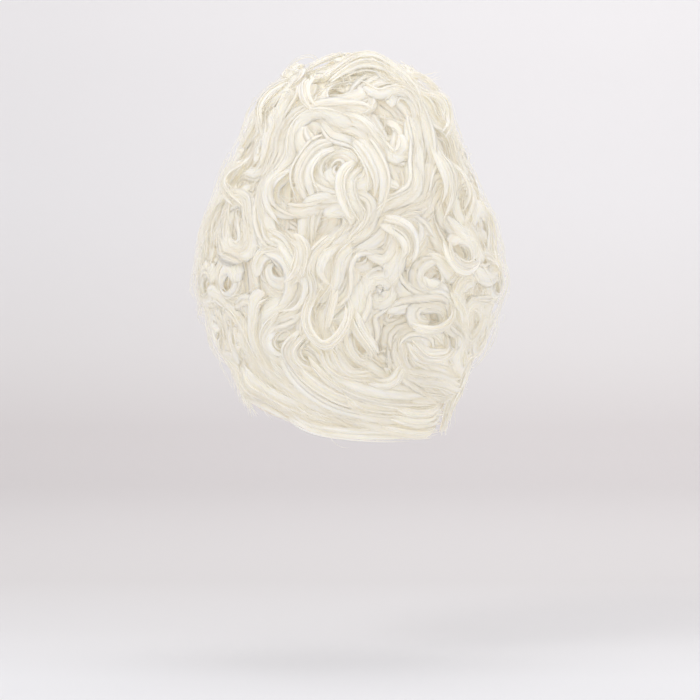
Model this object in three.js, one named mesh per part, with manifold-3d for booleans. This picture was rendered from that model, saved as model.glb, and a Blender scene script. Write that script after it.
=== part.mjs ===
// A powdered wig, dressed high over the crown and curled all over.
// A thin fitted cap carries eight rows of hair. Each row is a padded base with its curls fused to it.
// Millimetres, +Z up. The origin is inside the cap, where it rests on the crown of the head.
// The wearer looks along +Y, so -Y is the back of the wig and +X the wearer's right.

import * as THREE from "three";
import { mergeVertices } from "three/addons/utils/BufferGeometryUtils.js";
import Module from "manifold-3d";

// The head that it fits, and the cap
const headWidth = 152;
const headLength = 194;
const hollowDepth = 275; // from the crown of the head to the foot of the neck
const hollowPast = 10; // how far the hollow runs below the lowest lock, at least
const capWall = 2;

// The hair, out to its curls
const sideHair = 64; // beside the head
const backHair = 56;
const frontHair = 9;
const crownRise = 88; // above the crown of the head
const hairDrop = 261; // from the crown of the head to the lowest lock
const wigWidth = headWidth + 2 * sideHair;
const wigHeight = crownRise + hairDrop;
const backDepth = headLength / 2 + backHair;
const frontDepth = headLength / 2 + frontHair;

// The curls
const curlDepth = 12; // how far the curls stand off the padded hair under them
const curlRadius = 18;
const lockWidth = 20;
const lockThickness = 7;
const rootSink = 9; // how deep a lock starts in the padded hair
const tipSink = 4;
const spiralClosing = 0.8; // how far a flat curl closes in over a whole turn, as a share of its radius

// Clearances between neighbours
const capClearance = 0.4;
const rowGap = 0.5; // between a row and the curls that hang over it
const baseGap = 0.6; // between the padded bases of two rows

// How finely the shapes are faceted
const aroundWig = 24;
const upWig = 12;
const aroundHead = 18;
const upHead = 9;
const turnPerStep = 64; // degrees of a curl's sweep
const stepsPerSweep = 5; // of a swept lock
const ringSpread = 0.45; // how evenly the rings of a dome lie: 0 crowds them to its top
const sidesPerLock = 4;

// The outline of the wig over its curls. Height is a share of wigHeight from the lowest lock, half a share
// of half of wigWidth, back and front shares of the depths.
const wigSections = [
  { height: 0.0, half: 0.6, back: 0.65, front: 0.25 },
  { height: 0.077, half: 0.657, back: 0.71, front: 0.3 },
  { height: 0.18, half: 0.807, back: 0.82, front: 0.47 },
  { height: 0.284, half: 0.929, back: 0.92, front: 0.62 },
  { height: 0.387, half: 1.0, back: 0.99, front: 0.74 },
  { height: 0.464, half: 0.979, back: 1.0, front: 0.8 },
  { height: 0.593, half: 0.914, back: 0.96, front: 0.94 },
  { height: 0.722, half: 0.764, back: 0.85, front: 1.0 },
  { height: 0.851, half: 0.643, back: 0.68, front: 0.85 },
  { height: 0.928, half: 0.5, back: 0.5, front: 0.64 },
  { height: 0.98, half: 0.321, back: 0.3, front: 0.4 },
  { height: 1.0, half: 0.0, back: 0.0, front: 0.0 },
];

// The hollow for the head and neck. Drop is a share of hollowDepth below the crown, the others shares of
// half of the head's width and length.
const headSections = [
  { drop: 0.0, half: 0.0, back: 0.0, front: 0.0 },
  { drop: 0.03, half: 0.39, back: 0.39, front: 0.39 },
  { drop: 0.11, half: 0.7, back: 0.7, front: 0.7 },
  { drop: 0.22, half: 0.905, back: 0.9, front: 0.9 },
  { drop: 0.38, half: 1.0, back: 1.0, front: 1.0 },
  { drop: 0.545, half: 0.97, back: 0.94, front: 0.98 },
  { drop: 0.67, half: 0.91, back: 0.85, front: 0.93 },
  { drop: 0.78, half: 0.85, back: 0.79, front: 0.88 },
  { drop: 0.89, half: 0.82, back: 0.78, front: 0.88 },
  { drop: 1.0, half: 0.84, back: 0.82, front: 0.92 },
];

// The line where the hair stops round the face and ears, seen from the side. Ahead is a share of half of
// the head's length, drop a share of hollowDepth.
const faceLine = [
  { ahead: 1.5, drop: 0.1 },
  { ahead: 0.97, drop: 0.135 },
  { ahead: 0.74, drop: 0.22 },
  { ahead: 0.62, drop: 0.38 },
  { ahead: 0.54, drop: 0.56 },
  { ahead: 0.3, drop: 0.74 },
  { ahead: -0.1, drop: 0.86 },
  { ahead: -0.4, drop: 1.05 },
];

// The lower edge of the cap, seen from the side, from the forehead round the ear to the neck
const capLine = [
  { ahead: 1.5, drop: 0.09 },
  { ahead: 0.96, drop: 0.145 },
  { ahead: 0.68, drop: 0.25 },
  { ahead: 0.48, drop: 0.43 },
  { ahead: 0.36, drop: 0.44 },
  { ahead: 0.18, drop: 0.37 },
  { ahead: -0.05, drop: 0.47 },
  { ahead: -0.4, drop: 0.6 },
  { ahead: -0.85, drop: 0.68 },
  { ahead: -1.5, drop: 0.69 },
];

// The lowest edge of the hair, seen from behind. Across is a share of half of wigWidth, height a share of
// wigHeight.
const hemLine = [
  { across: -1.2, height: 0.3 },
  { across: -0.84, height: 0.19 },
  { across: -0.74, height: 0.12 },
  { across: -0.62, height: 0.072 },
  { across: -0.38, height: 0.042 },
  { across: -0.19, height: 0.012 },
  { across: 0.54, height: 0.004 },
  { across: 0.58, height: 0.05 },
  { across: 0.66, height: 0.11 },
  { across: 0.8, height: 0.17 },
  { across: 1.2, height: 0.3 },
];

// Where one row of hair ends and the next begins, as heights on the wig and a turn from the back's middle
const crownLine = 0.8;
const upperLine = 0.6;
const middleLine = 0.345;
const napeLine = 0.165;
const frontAhead = 0.3; // as a share of half of headLength
const sideTurn = 57; // degrees

// The padded base lies under the curls by curlDepth, and by a share of it along the hem, up to a height
const hemPadding = 0.3;
const hemPaddingTop = 0.25;

// The curls of each row that show from behind. Az is the turn in degrees from the middle of the back
// towards +X, height a share of wigHeight. Size and wide are shares of curlRadius and lockWidth. Lean
// tilts the curl's axis off the surface, towards the direction way. The lock runs round its loop from
// start through sweep. Flare turns its flat side from an upright tube, 0, over a dome to a flat swirl, 90.
const shownCurls = {
  crown_curls: [
    { az: -2, height: 0.885, size: 1.45, wide: 1.1, lean: 10, way: 90, start: 215, sweep: -350, flare: 50 },
    { az: 34, height: 0.862, size: 1.9, wide: 1.3, lean: 0, way: 0, start: 125, sweep: -160, flare: 60 },
    { az: -44, height: 0.87, size: 1.05, wide: 1.0, lean: 15, way: 180, start: 200, sweep: -300, flare: 40 },
    { az: 68, height: 0.862, size: 1.1, wide: 1.0, lean: 20, way: 0, start: 100, sweep: -260, flare: 40 },
    { az: 15, height: 0.958, size: 1.35, wide: 1.1, lean: 10, way: 90, start: 200, sweep: -230, flare: 55 },
    { az: 172, height: 0.982, size: 1.5, wide: 1.2, lean: 0, way: 0, start: 60, sweep: 300, flare: 55 },
  ],
  upper_back_curls: [
    { az: 24, height: 0.752, size: 1.75, wide: 1.15, lean: 8, way: 90, start: 95, sweep: -270, flare: 55 },
    { az: 22, height: 0.645, size: 1.65, wide: 0.9, lean: 0, way: 0, start: 60, sweep: -190, flare: 60 },
    { az: -5, height: 0.665, size: 1.45, wide: 1.1, lean: 0, way: 0, start: 110, sweep: 170, flare: 60 },
    { az: -49, height: 0.735, size: 1.1, wide: 1.0, lean: 15, way: 250, start: 190, sweep: -280, flare: 30 },
    { az: -30, height: 0.635, size: 1.3, wide: 1.0, lean: 0, way: 0, start: 100, sweep: 160, flare: 60 },
    { az: 60, height: 0.765, size: 1.1, wide: 1.0, lean: 15, way: 0, start: 120, sweep: -240, flare: 40 },
    { az: -21, height: 0.78, size: 1.1, wide: 0.9, lean: 15, way: 90, start: 20, sweep: 230, flare: 45 },
    { az: 51, height: 0.67, size: 1.15, wide: 1.0, lean: 0, way: 0, start: 110, sweep: -170, flare: 50 },
    { az: -60, height: 0.65, size: 1.1, wide: 1.0, lean: 20, way: 180, start: 60, sweep: 300, flare: 35 },
  ],
  middle_back_curls: [
    { az: -46, height: 0.525, size: 1.0, wide: 0.9, lean: 20, way: 300, start: 150, sweep: -340, flare: 12 },
    { az: -53, height: 0.405, size: 1.25, wide: 1.0, lean: 5, way: 0, start: 95, sweep: 340, flare: 42 },
    { az: -27, height: 0.43, size: 1.6, wide: 1.2, lean: 8, way: 90, start: 100, sweep: -330, flare: 60 },
    { az: 9, height: 0.36, size: 1.05, wide: 0.85, lean: 20, way: 200, start: 60, sweep: 340, flare: 25 },
    { az: 31, height: 0.41, size: 1.3, wide: 1.0, lean: 10, way: 90, start: 130, sweep: 300, flare: 40 },
    { az: 48, height: 0.48, size: 1.2, wide: 0.9, lean: 10, way: 90, start: 60, sweep: -200, flare: 35 },
    { az: -4, height: 0.55, size: 1.55, wide: 1.15, lean: 10, way: 90, start: 190, sweep: -210, flare: 60 },
    { az: 4, height: 0.46, size: 1.3, wide: 1.1, lean: 10, way: 90, start: 80, sweep: 260, flare: 50 },
    { az: 23, height: 0.53, size: 1.25, wide: 1.0, lean: 5, way: 90, start: 200, sweep: 250, flare: 50 },
  ],
  lower_back_curls: [
    { az: -8, height: 0.32, size: 1.2, wide: 0.85, lean: 30, way: 350, start: 100, sweep: 335, flare: 12 },
    { az: 33, height: 0.32, size: 1.3, wide: 0.8, lean: 0, way: 0, start: 20, sweep: -200, flare: 50 },
    { az: 2, height: 0.25, size: 1.55, wide: 1.1, lean: 0, way: 0, start: 175, sweep: 150, flare: 60 },
    { az: 29, height: 0.24, size: 1.15, wide: 1.0, lean: 10, way: 90, start: 100, sweep: 300, flare: 45 },
    { az: 49, height: 0.25, size: 1.15, wide: 1.0, lean: 10, way: 90, start: 80, sweep: -300, flare: 45 },
    { az: -31, height: 0.26, size: 1.25, wide: 1.1, lean: 10, way: 90, start: 70, sweep: 280, flare: 50 },
    { az: -53, height: 0.235, size: 1.2, wide: 1.1, lean: 10, way: 90, start: 100, sweep: -280, flare: 50 },
  ],
  nape_hair: [
    { az: -60, height: 0.14, size: 1.0, wide: 1.0, lean: 0, way: 90, start: 110, sweep: 220, flare: 55 },
    { az: 62, height: 0.145, size: 0.95, wide: 1.0, lean: 0, way: 90, start: 80, sweep: -240, flare: 50 },
  ],
};

// The curls that come in pairs, one on each side of the wig, in the same columns. The left one mirrors the
// right.
const pairedCurls = {
  crown_curls: [
    { az: 104, height: 0.86, size: 1.6, wide: 1.1, lean: 10, way: 90, start: 290, sweep: 320, flare: 40 },
    { az: 152, height: 0.865, size: 1.6, wide: 1.2, lean: 10, way: 90, start: 250, sweep: -320, flare: 45 },
    { az: 118, height: 0.95, size: 1.35, wide: 1.1, lean: 0, way: 90, start: 250, sweep: -300, flare: 50 },
  ],
  upper_back_curls: [
    { az: 88, height: 0.7, size: 1.75, wide: 1.15, lean: 10, way: 270, start: 100, sweep: -300, flare: 40 },
  ],
  front_curls: [
    { az: 122, height: 0.735, size: 1.5, wide: 1.1, lean: 10, way: 270, start: 100, sweep: -300, flare: 40 },
    { az: 162, height: 0.765, size: 1.5, wide: 1.1, lean: 10, way: 270, start: 80, sweep: 280, flare: 50 },
    { az: 150, height: 0.66, size: 1.25, wide: 1.0, lean: 10, way: 270, start: 90, sweep: -300, flare: 40 },
  ],
  side_curls: [
    { az: 73, height: 0.55, size: 1.45, wide: 1.0, lean: 10, way: 0, start: 100, sweep: -300, flare: 40 },
    { az: 74, height: 0.405, size: 1.45, wide: 1.0, lean: 10, way: 180, start: 90, sweep: -310, flare: 40 },
    { az: 75, height: 0.255, size: 1.35, wide: 1.0, lean: 10, way: 90, start: 90, sweep: -300, flare: 40 },
    { az: 99, height: 0.48, size: 1.6, wide: 1.1, lean: 10, way: 90, start: 80, sweep: 320, flare: 45 },
    { az: 100, height: 0.32, size: 1.55, wide: 1.1, lean: 10, way: 90, start: 100, sweep: -320, flare: 45 },
    { az: 121, height: 0.565, size: 1.5, wide: 1.0, lean: 10, way: 90, start: 80, sweep: 300, flare: 45 },
    { az: 123, height: 0.41, size: 1.5, wide: 1.0, lean: 10, way: 90, start: 100, sweep: -300, flare: 45 },
  ],
};

// The smooth locks swept over the neck, from one place on the wig to another, sagging by bow, a share of
// wigHeight
const sweptLocks = [
  { fromAz: -60, fromHeight: 0.19, toAz: 62, toHeight: 0.035, bow: 0.045, wide: 1.4 },
  { fromAz: -40, fromHeight: 0.17, toAz: 63, toHeight: 0.07, bow: 0.03, wide: 1.2 },
  { fromAz: -12, fromHeight: 0.16, toAz: 64, toHeight: 0.105, bow: 0.02, wide: 1.1 },
  { fromAz: 16, fromHeight: 0.17, toAz: 66, toHeight: 0.14, bow: 0.01, wide: 1.0 },
];

const wasm = await Module();
wasm.setup();

const radians = THREE.MathUtils.degToRad;

// A closed three.js geometry as a solid that can be cut and joined
function solidOf(geometry) {
  const bare = geometry.clone();
  bare.deleteAttribute("normal");
  bare.deleteAttribute("uv");
  const merged = mergeVertices(bare, 1e-4);
  return new wasm.Manifold(
    new wasm.Mesh({
      numProp: 3,
      vertProperties: new Float32Array(merged.attributes.position.array),
      triVerts: new Uint32Array(merged.index.array),
    }),
  );
}

function geometryOf(solid) {
  const mesh = solid.getMesh();
  const geometry = new THREE.BufferGeometry();
  geometry.setAttribute("position", new THREE.BufferAttribute(mesh.vertProperties, 3));
  geometry.setIndex(new THREE.BufferAttribute(mesh.triVerts, 1));
  geometry.computeVertexNormals();
  return geometry;
}

// Moves each vertex of a geometry to the place that the function gives for it
function shaped(geometry, place) {
  const position = geometry.attributes.position;
  const from = new THREE.Vector3();
  for (let i = 0; i < position.count; i++) {
    from.fromBufferAttribute(position, i);
    const to = place(from);
    position.setXYZ(i, to.x, to.y, to.z);
  }
  return geometry;
}

// The sizes of a section table at one station. The squares are eased between rows, which rounds the closed
// ends.
function sectionAt(table, station, value) {
  const last = table.length - 1;
  const held = THREE.MathUtils.clamp(value, table[0][station], table[last][station]);
  let row = 0;
  while (row < last - 1 && held > table[row + 1][station]) row++;
  const [low, high] = [table[row], table[row + 1]];
  const t = (held - low[station]) / (high[station] - low[station]);
  const mixed = (name) => Math.sqrt(THREE.MathUtils.lerp(low[name] ** 2, high[name] ** 2, t));
  return { half: mixed("half"), back: mixed("back"), front: mixed("front") };
}

const lowest = crownRise - wigHeight;
const heightToZ = (height) => lowest + height * wigHeight;

// Where the walls start to close over the top: a height on the wig and a drop on the head
const domeHeight = 0.7;
const domeDrop = 0.3;

// A point on the outline of the wig, or inside it by the inset
function wigPoint(az, height, inset = 0) {
  const section = sectionAt(wigSections, "height", height);
  const turn = radians(az);
  const depth = Math.cos(turn) > 0 ? section.back * backDepth : section.front * frontDepth;
  const inner = (size) => Math.max(size - inset, 0);
  return new THREE.Vector3(
    inner((section.half * wigWidth) / 2) * Math.sin(turn),
    -inner(depth) * Math.cos(turn),
    heightToZ(height) - inset * THREE.MathUtils.smoothstep(height, domeHeight, 1),
  );
}

// A point on the hollow for the head, or outside it by the offset
function headPoint(az, drop, offset = 0) {
  const section = sectionAt(headSections, "drop", drop);
  const turn = radians(az);
  const depth = (Math.cos(turn) > 0 ? section.back : section.front) * (headLength / 2);
  const outer = (size) => (drop > 0 ? size + offset : 0);
  const lift = offset * (1 - THREE.MathUtils.smoothstep(drop, 0, domeDrop));
  return new THREE.Vector3(
    outer((section.half * headWidth) / 2) * Math.sin(turn),
    -outer(depth) * Math.cos(turn),
    drop < 1 ? -drop * hollowDepth + lift : Math.min(-hollowDepth, lowest - hollowPast),
  );
}

// A sphere pulled over rings of points: pointAt gives the place at a turn and a share of the way down.
// The last ring is closed flat across the middle.
function ringed(around, down, pointAt) {
  const sphere = new THREE.SphereGeometry(1, around, down + 1);
  return shaped(sphere, (from) => {
    const share = Math.acos(THREE.MathUtils.clamp(from.y, -1, 1)) / Math.PI;
    const ring = Math.round(share * (down + 1));
    const az = THREE.MathUtils.radToDeg(Math.atan2(from.x, from.z));
    const to = pointAt(az, Math.min(ring / down, 1));
    return ring > down ? new THREE.Vector3(0, 0, to.z) : to;
  });
}

// How far down the rings of a dome lie, closer together near its closed top
const domeShare = (share) => THREE.MathUtils.lerp(1 - Math.cos((share * Math.PI) / 2), share, ringSpread);

function wigBody(inset) {
  return solidOf(
    ringed(aroundWig, upWig, (az, share) => {
      const height = 1 - domeShare(share);
      const ease = THREE.MathUtils.smoothstep(height, 0, hemPaddingTop);
      return wigPoint(az, height, inset * THREE.MathUtils.lerp(hemPadding, 1, ease));
    }),
  );
}

function headBody(offset) {
  return solidOf(ringed(aroundHead, upHead, (az, share) => headPoint(az, domeShare(share), offset)));
}

const below = Math.min(lowest, -hollowDepth) - 2 * hollowPast;
const far = wigWidth + headLength;

// A flat outline pushed through the whole wig along X, from points seen from the side
function sideCut(line, ...closing) {
  const points = line.map((p) => new THREE.Vector2((p.ahead * headLength) / 2, -p.drop * hollowDepth));
  const curve = new THREE.SplineCurve(points).getPoints(line.length * 3);
  const outline = new THREE.Shape([...curve, ...closing]);
  const block = new THREE.ExtrudeGeometry(outline, { depth: 2 * far, bevelEnabled: false });
  block.translate(0, 0, -far);
  block.applyMatrix4(new THREE.Matrix4().makeBasis(
    new THREE.Vector3(0, 1, 0), new THREE.Vector3(0, 0, 1), new THREE.Vector3(1, 0, 0)));
  return solidOf(block);
}

const faceFoot = (faceLine.at(-1).ahead * headLength) / 2;
const faceCut = sideCut(faceLine, new THREE.Vector2(faceFoot, below), new THREE.Vector2(far, below));
const underCap = sideCut(capLine, new THREE.Vector2(-far, below), new THREE.Vector2(far, below));

function hemCut() {
  const points = hemLine.map((p) => new THREE.Vector2((p.across * wigWidth) / 2, heightToZ(p.height)));
  const outline = new THREE.Shape([...points, new THREE.Vector2(far, below), new THREE.Vector2(-far, below)]);
  const block = new THREE.ExtrudeGeometry(outline, { depth: 2 * far, bevelEnabled: false });
  block.translate(0, 0, -far);
  block.applyMatrix4(new THREE.Matrix4().makeBasis(
    new THREE.Vector3(1, 0, 0), new THREE.Vector3(0, 0, 1), new THREE.Vector3(0, -1, 0)));
  return solidOf(block);
}

// The directions on the outline of the wig at one place: to the right, up and outwards
function surfaceFrame(az, height) {
  const right = wigPoint(az + 1, height).sub(wigPoint(az - 1, height)).normalize();
  const rise = wigPoint(az, height + 0.01).sub(wigPoint(az, height - 0.01)).normalize();
  const normal = new THREE.Vector3().crossVectors(right, rise).normalize();
  return { right, normal, up: new THREE.Vector3().crossVectors(normal, right) };
}

// A flat-sided tube bent along a lock. The function gives the centre, the way along, the flat side's
// direction and the half sizes of the section at a share of the length. Grow makes it bigger all round.
function bentLock(steps, grow, sectionOn) {
  const corner = Math.SQRT2; // puts the four corners of the tube at 1, 1
  const tube = new THREE.CylinderGeometry(corner, corner, 1, sidesPerLock, steps, false, Math.PI / 4);
  return solidOf(shaped(tube, (from) => {
    const along = from.y + 0.5;
    const { centre, forward, flat, halfWide, halfThick } = sectionOn(along);
    const thick = new THREE.Vector3().crossVectors(flat, forward).normalize();
    const end = Math.round(along * 2 - 1) * (Math.abs(from.y) > 0.49 ? 1 : 0);
    return centre
      .addScaledVector(flat, from.x * (halfWide + grow))
      .addScaledVector(thick, from.z * (halfThick + grow))
      .addScaledVector(forward, end * grow);
  }));
}

const taperAt = (along) => 0.5 + 0.5 * Math.sin(Math.PI * THREE.MathUtils.clamp(along, 0.02, 0.98)) ** 0.6;

// A curl: a lock that runs round a loop, rooted in the padded hair
function curlSolid(curl, grow) {
  const { right, normal, up } = surfaceFrame(curl.az, curl.height);
  const leanTo = right.clone().multiplyScalar(Math.cos(radians(curl.way)))
    .addScaledVector(up, Math.sin(radians(curl.way)));
  const tilt = new THREE.Matrix4().makeRotationAxis(
    new THREE.Vector3().crossVectors(normal, leanTo), radians(curl.lean));
  const [axis, loopRight, loopUp] = [normal, right, up].map((v) => v.clone().applyMatrix4(tilt));
  const radius = curl.size * curlRadius;
  const closing = spiralClosing * (curl.flare / 90) * (Math.abs(curl.sweep) / 360);
  const halfWide = (curl.wide * lockWidth) / 2;
  const flare = radians(curl.flare);
  const depth = halfWide * Math.cos(flare) + lockThickness / 2 + (radius * Math.sin(radians(curl.lean))) / 2;
  const middle = wigPoint(curl.az, curl.height).addScaledVector(normal, -depth);
  const steps = Math.ceil(Math.abs(curl.sweep) / turnPerStep);
  return bentLock(steps, grow, (along) => {
    const angle = radians(curl.start + curl.sweep * along);
    const radial = loopRight.clone().multiplyScalar(Math.cos(angle)).addScaledVector(loopUp, Math.sin(angle));
    const forward = loopUp.clone().multiplyScalar(Math.cos(angle))
      .addScaledVector(loopRight, -Math.sin(angle)).multiplyScalar(Math.sign(curl.sweep));
    const flat = axis.clone().multiplyScalar(Math.cos(flare)).addScaledVector(radial, -Math.sin(flare));
    const sink = rootSink * (1 - THREE.MathUtils.smoothstep(along, 0, 0.3))
      + tipSink * THREE.MathUtils.smoothstep(along, 0.8, 1);
    const centre = middle.clone()
      .addScaledVector(radial, radius * (1 - closing * along))
      .addScaledVector(normal, -sink);
    return { centre, forward, flat, halfWide: halfWide * taperAt(along), halfThick: lockThickness / 2 };
  });
}

// A lock swept over the wig from one place to another
function sweptSolid(lock, grow) {
  const placeAt = (along) => {
    const az = THREE.MathUtils.lerp(lock.fromAz, lock.toAz, along);
    const height = THREE.MathUtils.lerp(lock.fromHeight, lock.toHeight, along)
      - lock.bow * Math.sin(Math.PI * along);
    return { az, height };
  };
  return bentLock(stepsPerSweep, grow, (along) => {
    const { az, height } = placeAt(along);
    const { normal } = surfaceFrame(az, height);
    const [before, after] = [placeAt(along - 0.02), placeAt(along + 0.02)];
    const forward = wigPoint(after.az, after.height).sub(wigPoint(before.az, before.height)).normalize();
    const flat = new THREE.Vector3().crossVectors(normal, forward).normalize();
    const sink = lockThickness / 2 + (curlDepth / 3) * (1 - THREE.MathUtils.smoothstep(along, 0, 0.3));
    const halfWide = ((lock.wide * lockWidth) / 2) * taperAt(along);
    return { centre: wigPoint(az, height, sink), forward, flat, halfWide, halfThick: lockThickness / 2 };
  });
}

// The wedge of space that each row of hair keeps to, as heights, turns from the middle of the back, and a
// stretch along Y. Rows are listed from the top down: a lower row gives way to the curls that hang over
// it.
const rowSpaces = {
  crown_curls: { low: crownLine, high: 1.2 },
  front_curls: { low: upperLine, high: crownLine, ahead: frontAhead },
  upper_back_curls: { low: upperLine, high: crownLine, behind: frontAhead },
  middle_back_curls: { low: middleLine, high: upperLine, turn: sideTurn, side: 0 },
  left_side_curls: { low: napeLine, high: upperLine, turn: sideTurn, side: -1 },
  right_side_curls: { low: napeLine, high: upperLine, turn: sideTurn, side: 1 },
  lower_back_curls: { low: napeLine, high: middleLine, turn: sideTurn, side: 0 },
  nape_hair: { low: -0.2, high: napeLine },
};

// The space of a row, grown all round or, where grow is negative, drawn in
function spaceSolid(space, grow) {
  const low = heightToZ(space.low) - grow;
  const high = heightToZ(space.high) + grow;
  const slab = (outline) => {
    const shape = new THREE.Shape(outline);
    const block = new THREE.ExtrudeGeometry(shape, { depth: high - low, bevelEnabled: false });
    block.translate(0, 0, low);
    return solidOf(block);
  };
  const split = (space.ahead ?? space.behind ?? 0) * (headLength / 2);
  if (space.ahead !== undefined) return slab(corners(-far, split - grow, far, far));
  if (space.behind !== undefined) return slab(corners(-far, -far, far, split + grow));
  if (space.turn === undefined) return slab(corners(-far, -far, far, far));
  const edge = (side) => new THREE.Vector2(
    side * far * Math.sin(radians(space.turn)), -far * Math.cos(radians(space.turn)));
  if (space.side === 0) {
    const tip = new THREE.Vector2(0, grow / Math.sin(radians(space.turn)));
    const out = (side) => edge(side).add(new THREE.Vector2(0, tip.y));
    return slab([tip, out(-1), new THREE.Vector2(0, -2 * far), out(1)]);
  }
  const tip = new THREE.Vector2(-space.side * grow, -grow / Math.sin(radians(space.turn)));
  const out = edge(space.side).add(new THREE.Vector2(0, tip.y));
  const behind = [new THREE.Vector2(space.side * far * 2, 0), new THREE.Vector2(space.side * far, far)];
  const outline = [tip, out, ...behind, new THREE.Vector2(tip.x, far)];
  return slab(space.side > 0 ? outline : outline.reverse());
}

function corners(x0, y0, x1, y1) {
  return [[x0, y0], [x1, y0], [x1, y1], [x0, y1]].map(([x, y]) => new THREE.Vector2(x, y));
}

const join = (solids) => solids.reduce((all, next) => all.add(next));
const biggest = (solid) => solid.decompose().reduce((a, b) => (b.volume() > a.volume() ? b : a));

const padding = wigBody(curlDepth).subtract(faceCut).subtract(hemCut());
const hollow = headBody(capWall + capClearance);

const mirrored = (curl) => ({
  ...curl, az: -curl.az, way: 180 - curl.way, start: 180 - curl.start, sweep: -curl.sweep });

// Every curl of a row: those that show from behind, and its share of the pairs
function curlsOf(name) {
  const side = rowSpaces[name].side ?? 0;
  const pairs = pairedCurls[side === 0 ? name : "side_curls"] ?? [];
  const right = side < 0 ? [] : pairs;
  const left = side > 0 ? [] : pairs.map(mirrored);
  return [...(shownCurls[name] ?? []), ...right, ...left];
}

function rowSolid(name, grow) {
  const base = padding.intersect(spaceSolid(rowSpaces[name], grow - baseGap / 2));
  const curls = curlsOf(name).map((curl) => curlSolid(curl, grow));
  const swept = name === "nape_hair" ? sweptLocks.map((lock) => sweptSolid(lock, grow)) : [];
  return join([base, ...curls, ...swept]);
}

// The fitted cap, open at the face and neck and cut round the ears
function capSolid() {
  return headBody(capWall).subtract(headBody(0)).subtract(underCap);
}

const hairColour = new THREE.MeshStandardMaterial({ color: 0xf3ecdc, roughness: 0.5, metalness: 0 });
const capColour = new THREE.MeshStandardMaterial({ color: 0xe9e2d2, roughness: 0.9, metalness: 0 });

function piece(name, solid, material) {
  const mesh = new THREE.Mesh(geometryOf(solid), material);
  mesh.name = name;
  return mesh;
}

const group = new THREE.Group();
group.name = "wig";
group.add(piece("cap", capSolid(), capColour));
let taken = hollow;
for (const name of Object.keys(rowSpaces)) {
  const row = biggest(rowSolid(name, 0).subtract(taken));
  group.add(piece(name, row, hairColour));
  taken = taken.add(rowSolid(name, rowGap));
}

export default group;
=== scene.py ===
import bpy, bmesh, math
import numpy as np
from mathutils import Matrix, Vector


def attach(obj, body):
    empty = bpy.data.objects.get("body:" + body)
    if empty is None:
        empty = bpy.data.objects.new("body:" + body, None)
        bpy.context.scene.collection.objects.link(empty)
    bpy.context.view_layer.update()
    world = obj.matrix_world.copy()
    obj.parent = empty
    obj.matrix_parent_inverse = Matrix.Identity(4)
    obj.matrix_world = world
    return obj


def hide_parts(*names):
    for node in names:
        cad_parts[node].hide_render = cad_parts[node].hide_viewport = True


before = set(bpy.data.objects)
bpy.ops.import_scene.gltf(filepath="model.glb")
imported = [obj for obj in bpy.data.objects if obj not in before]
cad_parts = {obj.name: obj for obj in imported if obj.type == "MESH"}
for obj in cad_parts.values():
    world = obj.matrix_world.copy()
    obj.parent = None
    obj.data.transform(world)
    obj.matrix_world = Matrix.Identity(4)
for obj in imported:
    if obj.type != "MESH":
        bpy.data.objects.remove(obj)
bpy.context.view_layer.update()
bpy.ops.object.select_all(action="DESELECT")
print("frame loaded:", len(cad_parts), "nodes")


# The outline of the wig over its curls, in metres and degrees. Az turns from the middle of the back towards +X,
# height is a share of the wig's height.

wig = {"width": 0.280, "height": 0.349, "crownRise": 0.088, "back": 0.153, "front": 0.106}
wigSections = np.array([  # height, half, back, front, as shares
    (0.0, 0.6, 0.65, 0.25),
    (0.077, 0.657, 0.71, 0.3),
    (0.18, 0.807, 0.82, 0.47),
    (0.284, 0.929, 0.92, 0.62),
    (0.387, 1.0, 0.99, 0.74),
    (0.464, 0.979, 1.0, 0.8),
    (0.593, 0.914, 0.96, 0.94),
    (0.722, 0.764, 0.85, 1.0),
    (0.851, 0.643, 0.68, 0.85),
    (0.928, 0.5, 0.5, 0.64),
    (0.98, 0.321, 0.3, 0.4),
    (1.0, 0.0, 0.0, 0.0),
])


def smoothstep(low, high, x):
    t = np.clip((x - low) / (high - low), 0, 1)
    return t * t * (3 - 2 * t)


def unit(v):
    return v / np.maximum(np.linalg.norm(v, axis=-1, keepdims=True), 1e-9)


def eased(table, station, column):  # squares are eased between rows, which rounds the closed ends
    return np.sqrt(np.interp(station, table[:, 0], table[:, column] ** 2))


def wigPoint(az, height, inset=0.0):
    turn = np.radians(az)
    depth = np.where(np.cos(turn) > 0, eased(wigSections, height, 2) * wig["back"],
                     eased(wigSections, height, 3) * wig["front"])
    x = np.maximum(eased(wigSections, height, 1) * wig["width"] / 2 - inset, 0) * np.sin(turn)
    y = -np.maximum(depth - inset, 0) * np.cos(turn)
    z = wig["crownRise"] - wig["height"] * (1 - height) - inset * smoothstep(0.7, 1, height)
    return np.stack(np.broadcast_arrays(x, y, z), -1)


def surfaceFrame(az, height):  # to the right, up and out of the outline
    right = unit(wigPoint(az + 1, height) - wigPoint(az - 1, height))
    rise = unit(wigPoint(az, height + 0.01) - wigPoint(az, height - 0.01))
    normal = unit(np.cross(right, rise))
    return right, np.cross(normal, right), normal


# The main curls, row by row, as in the CAD model

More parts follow.
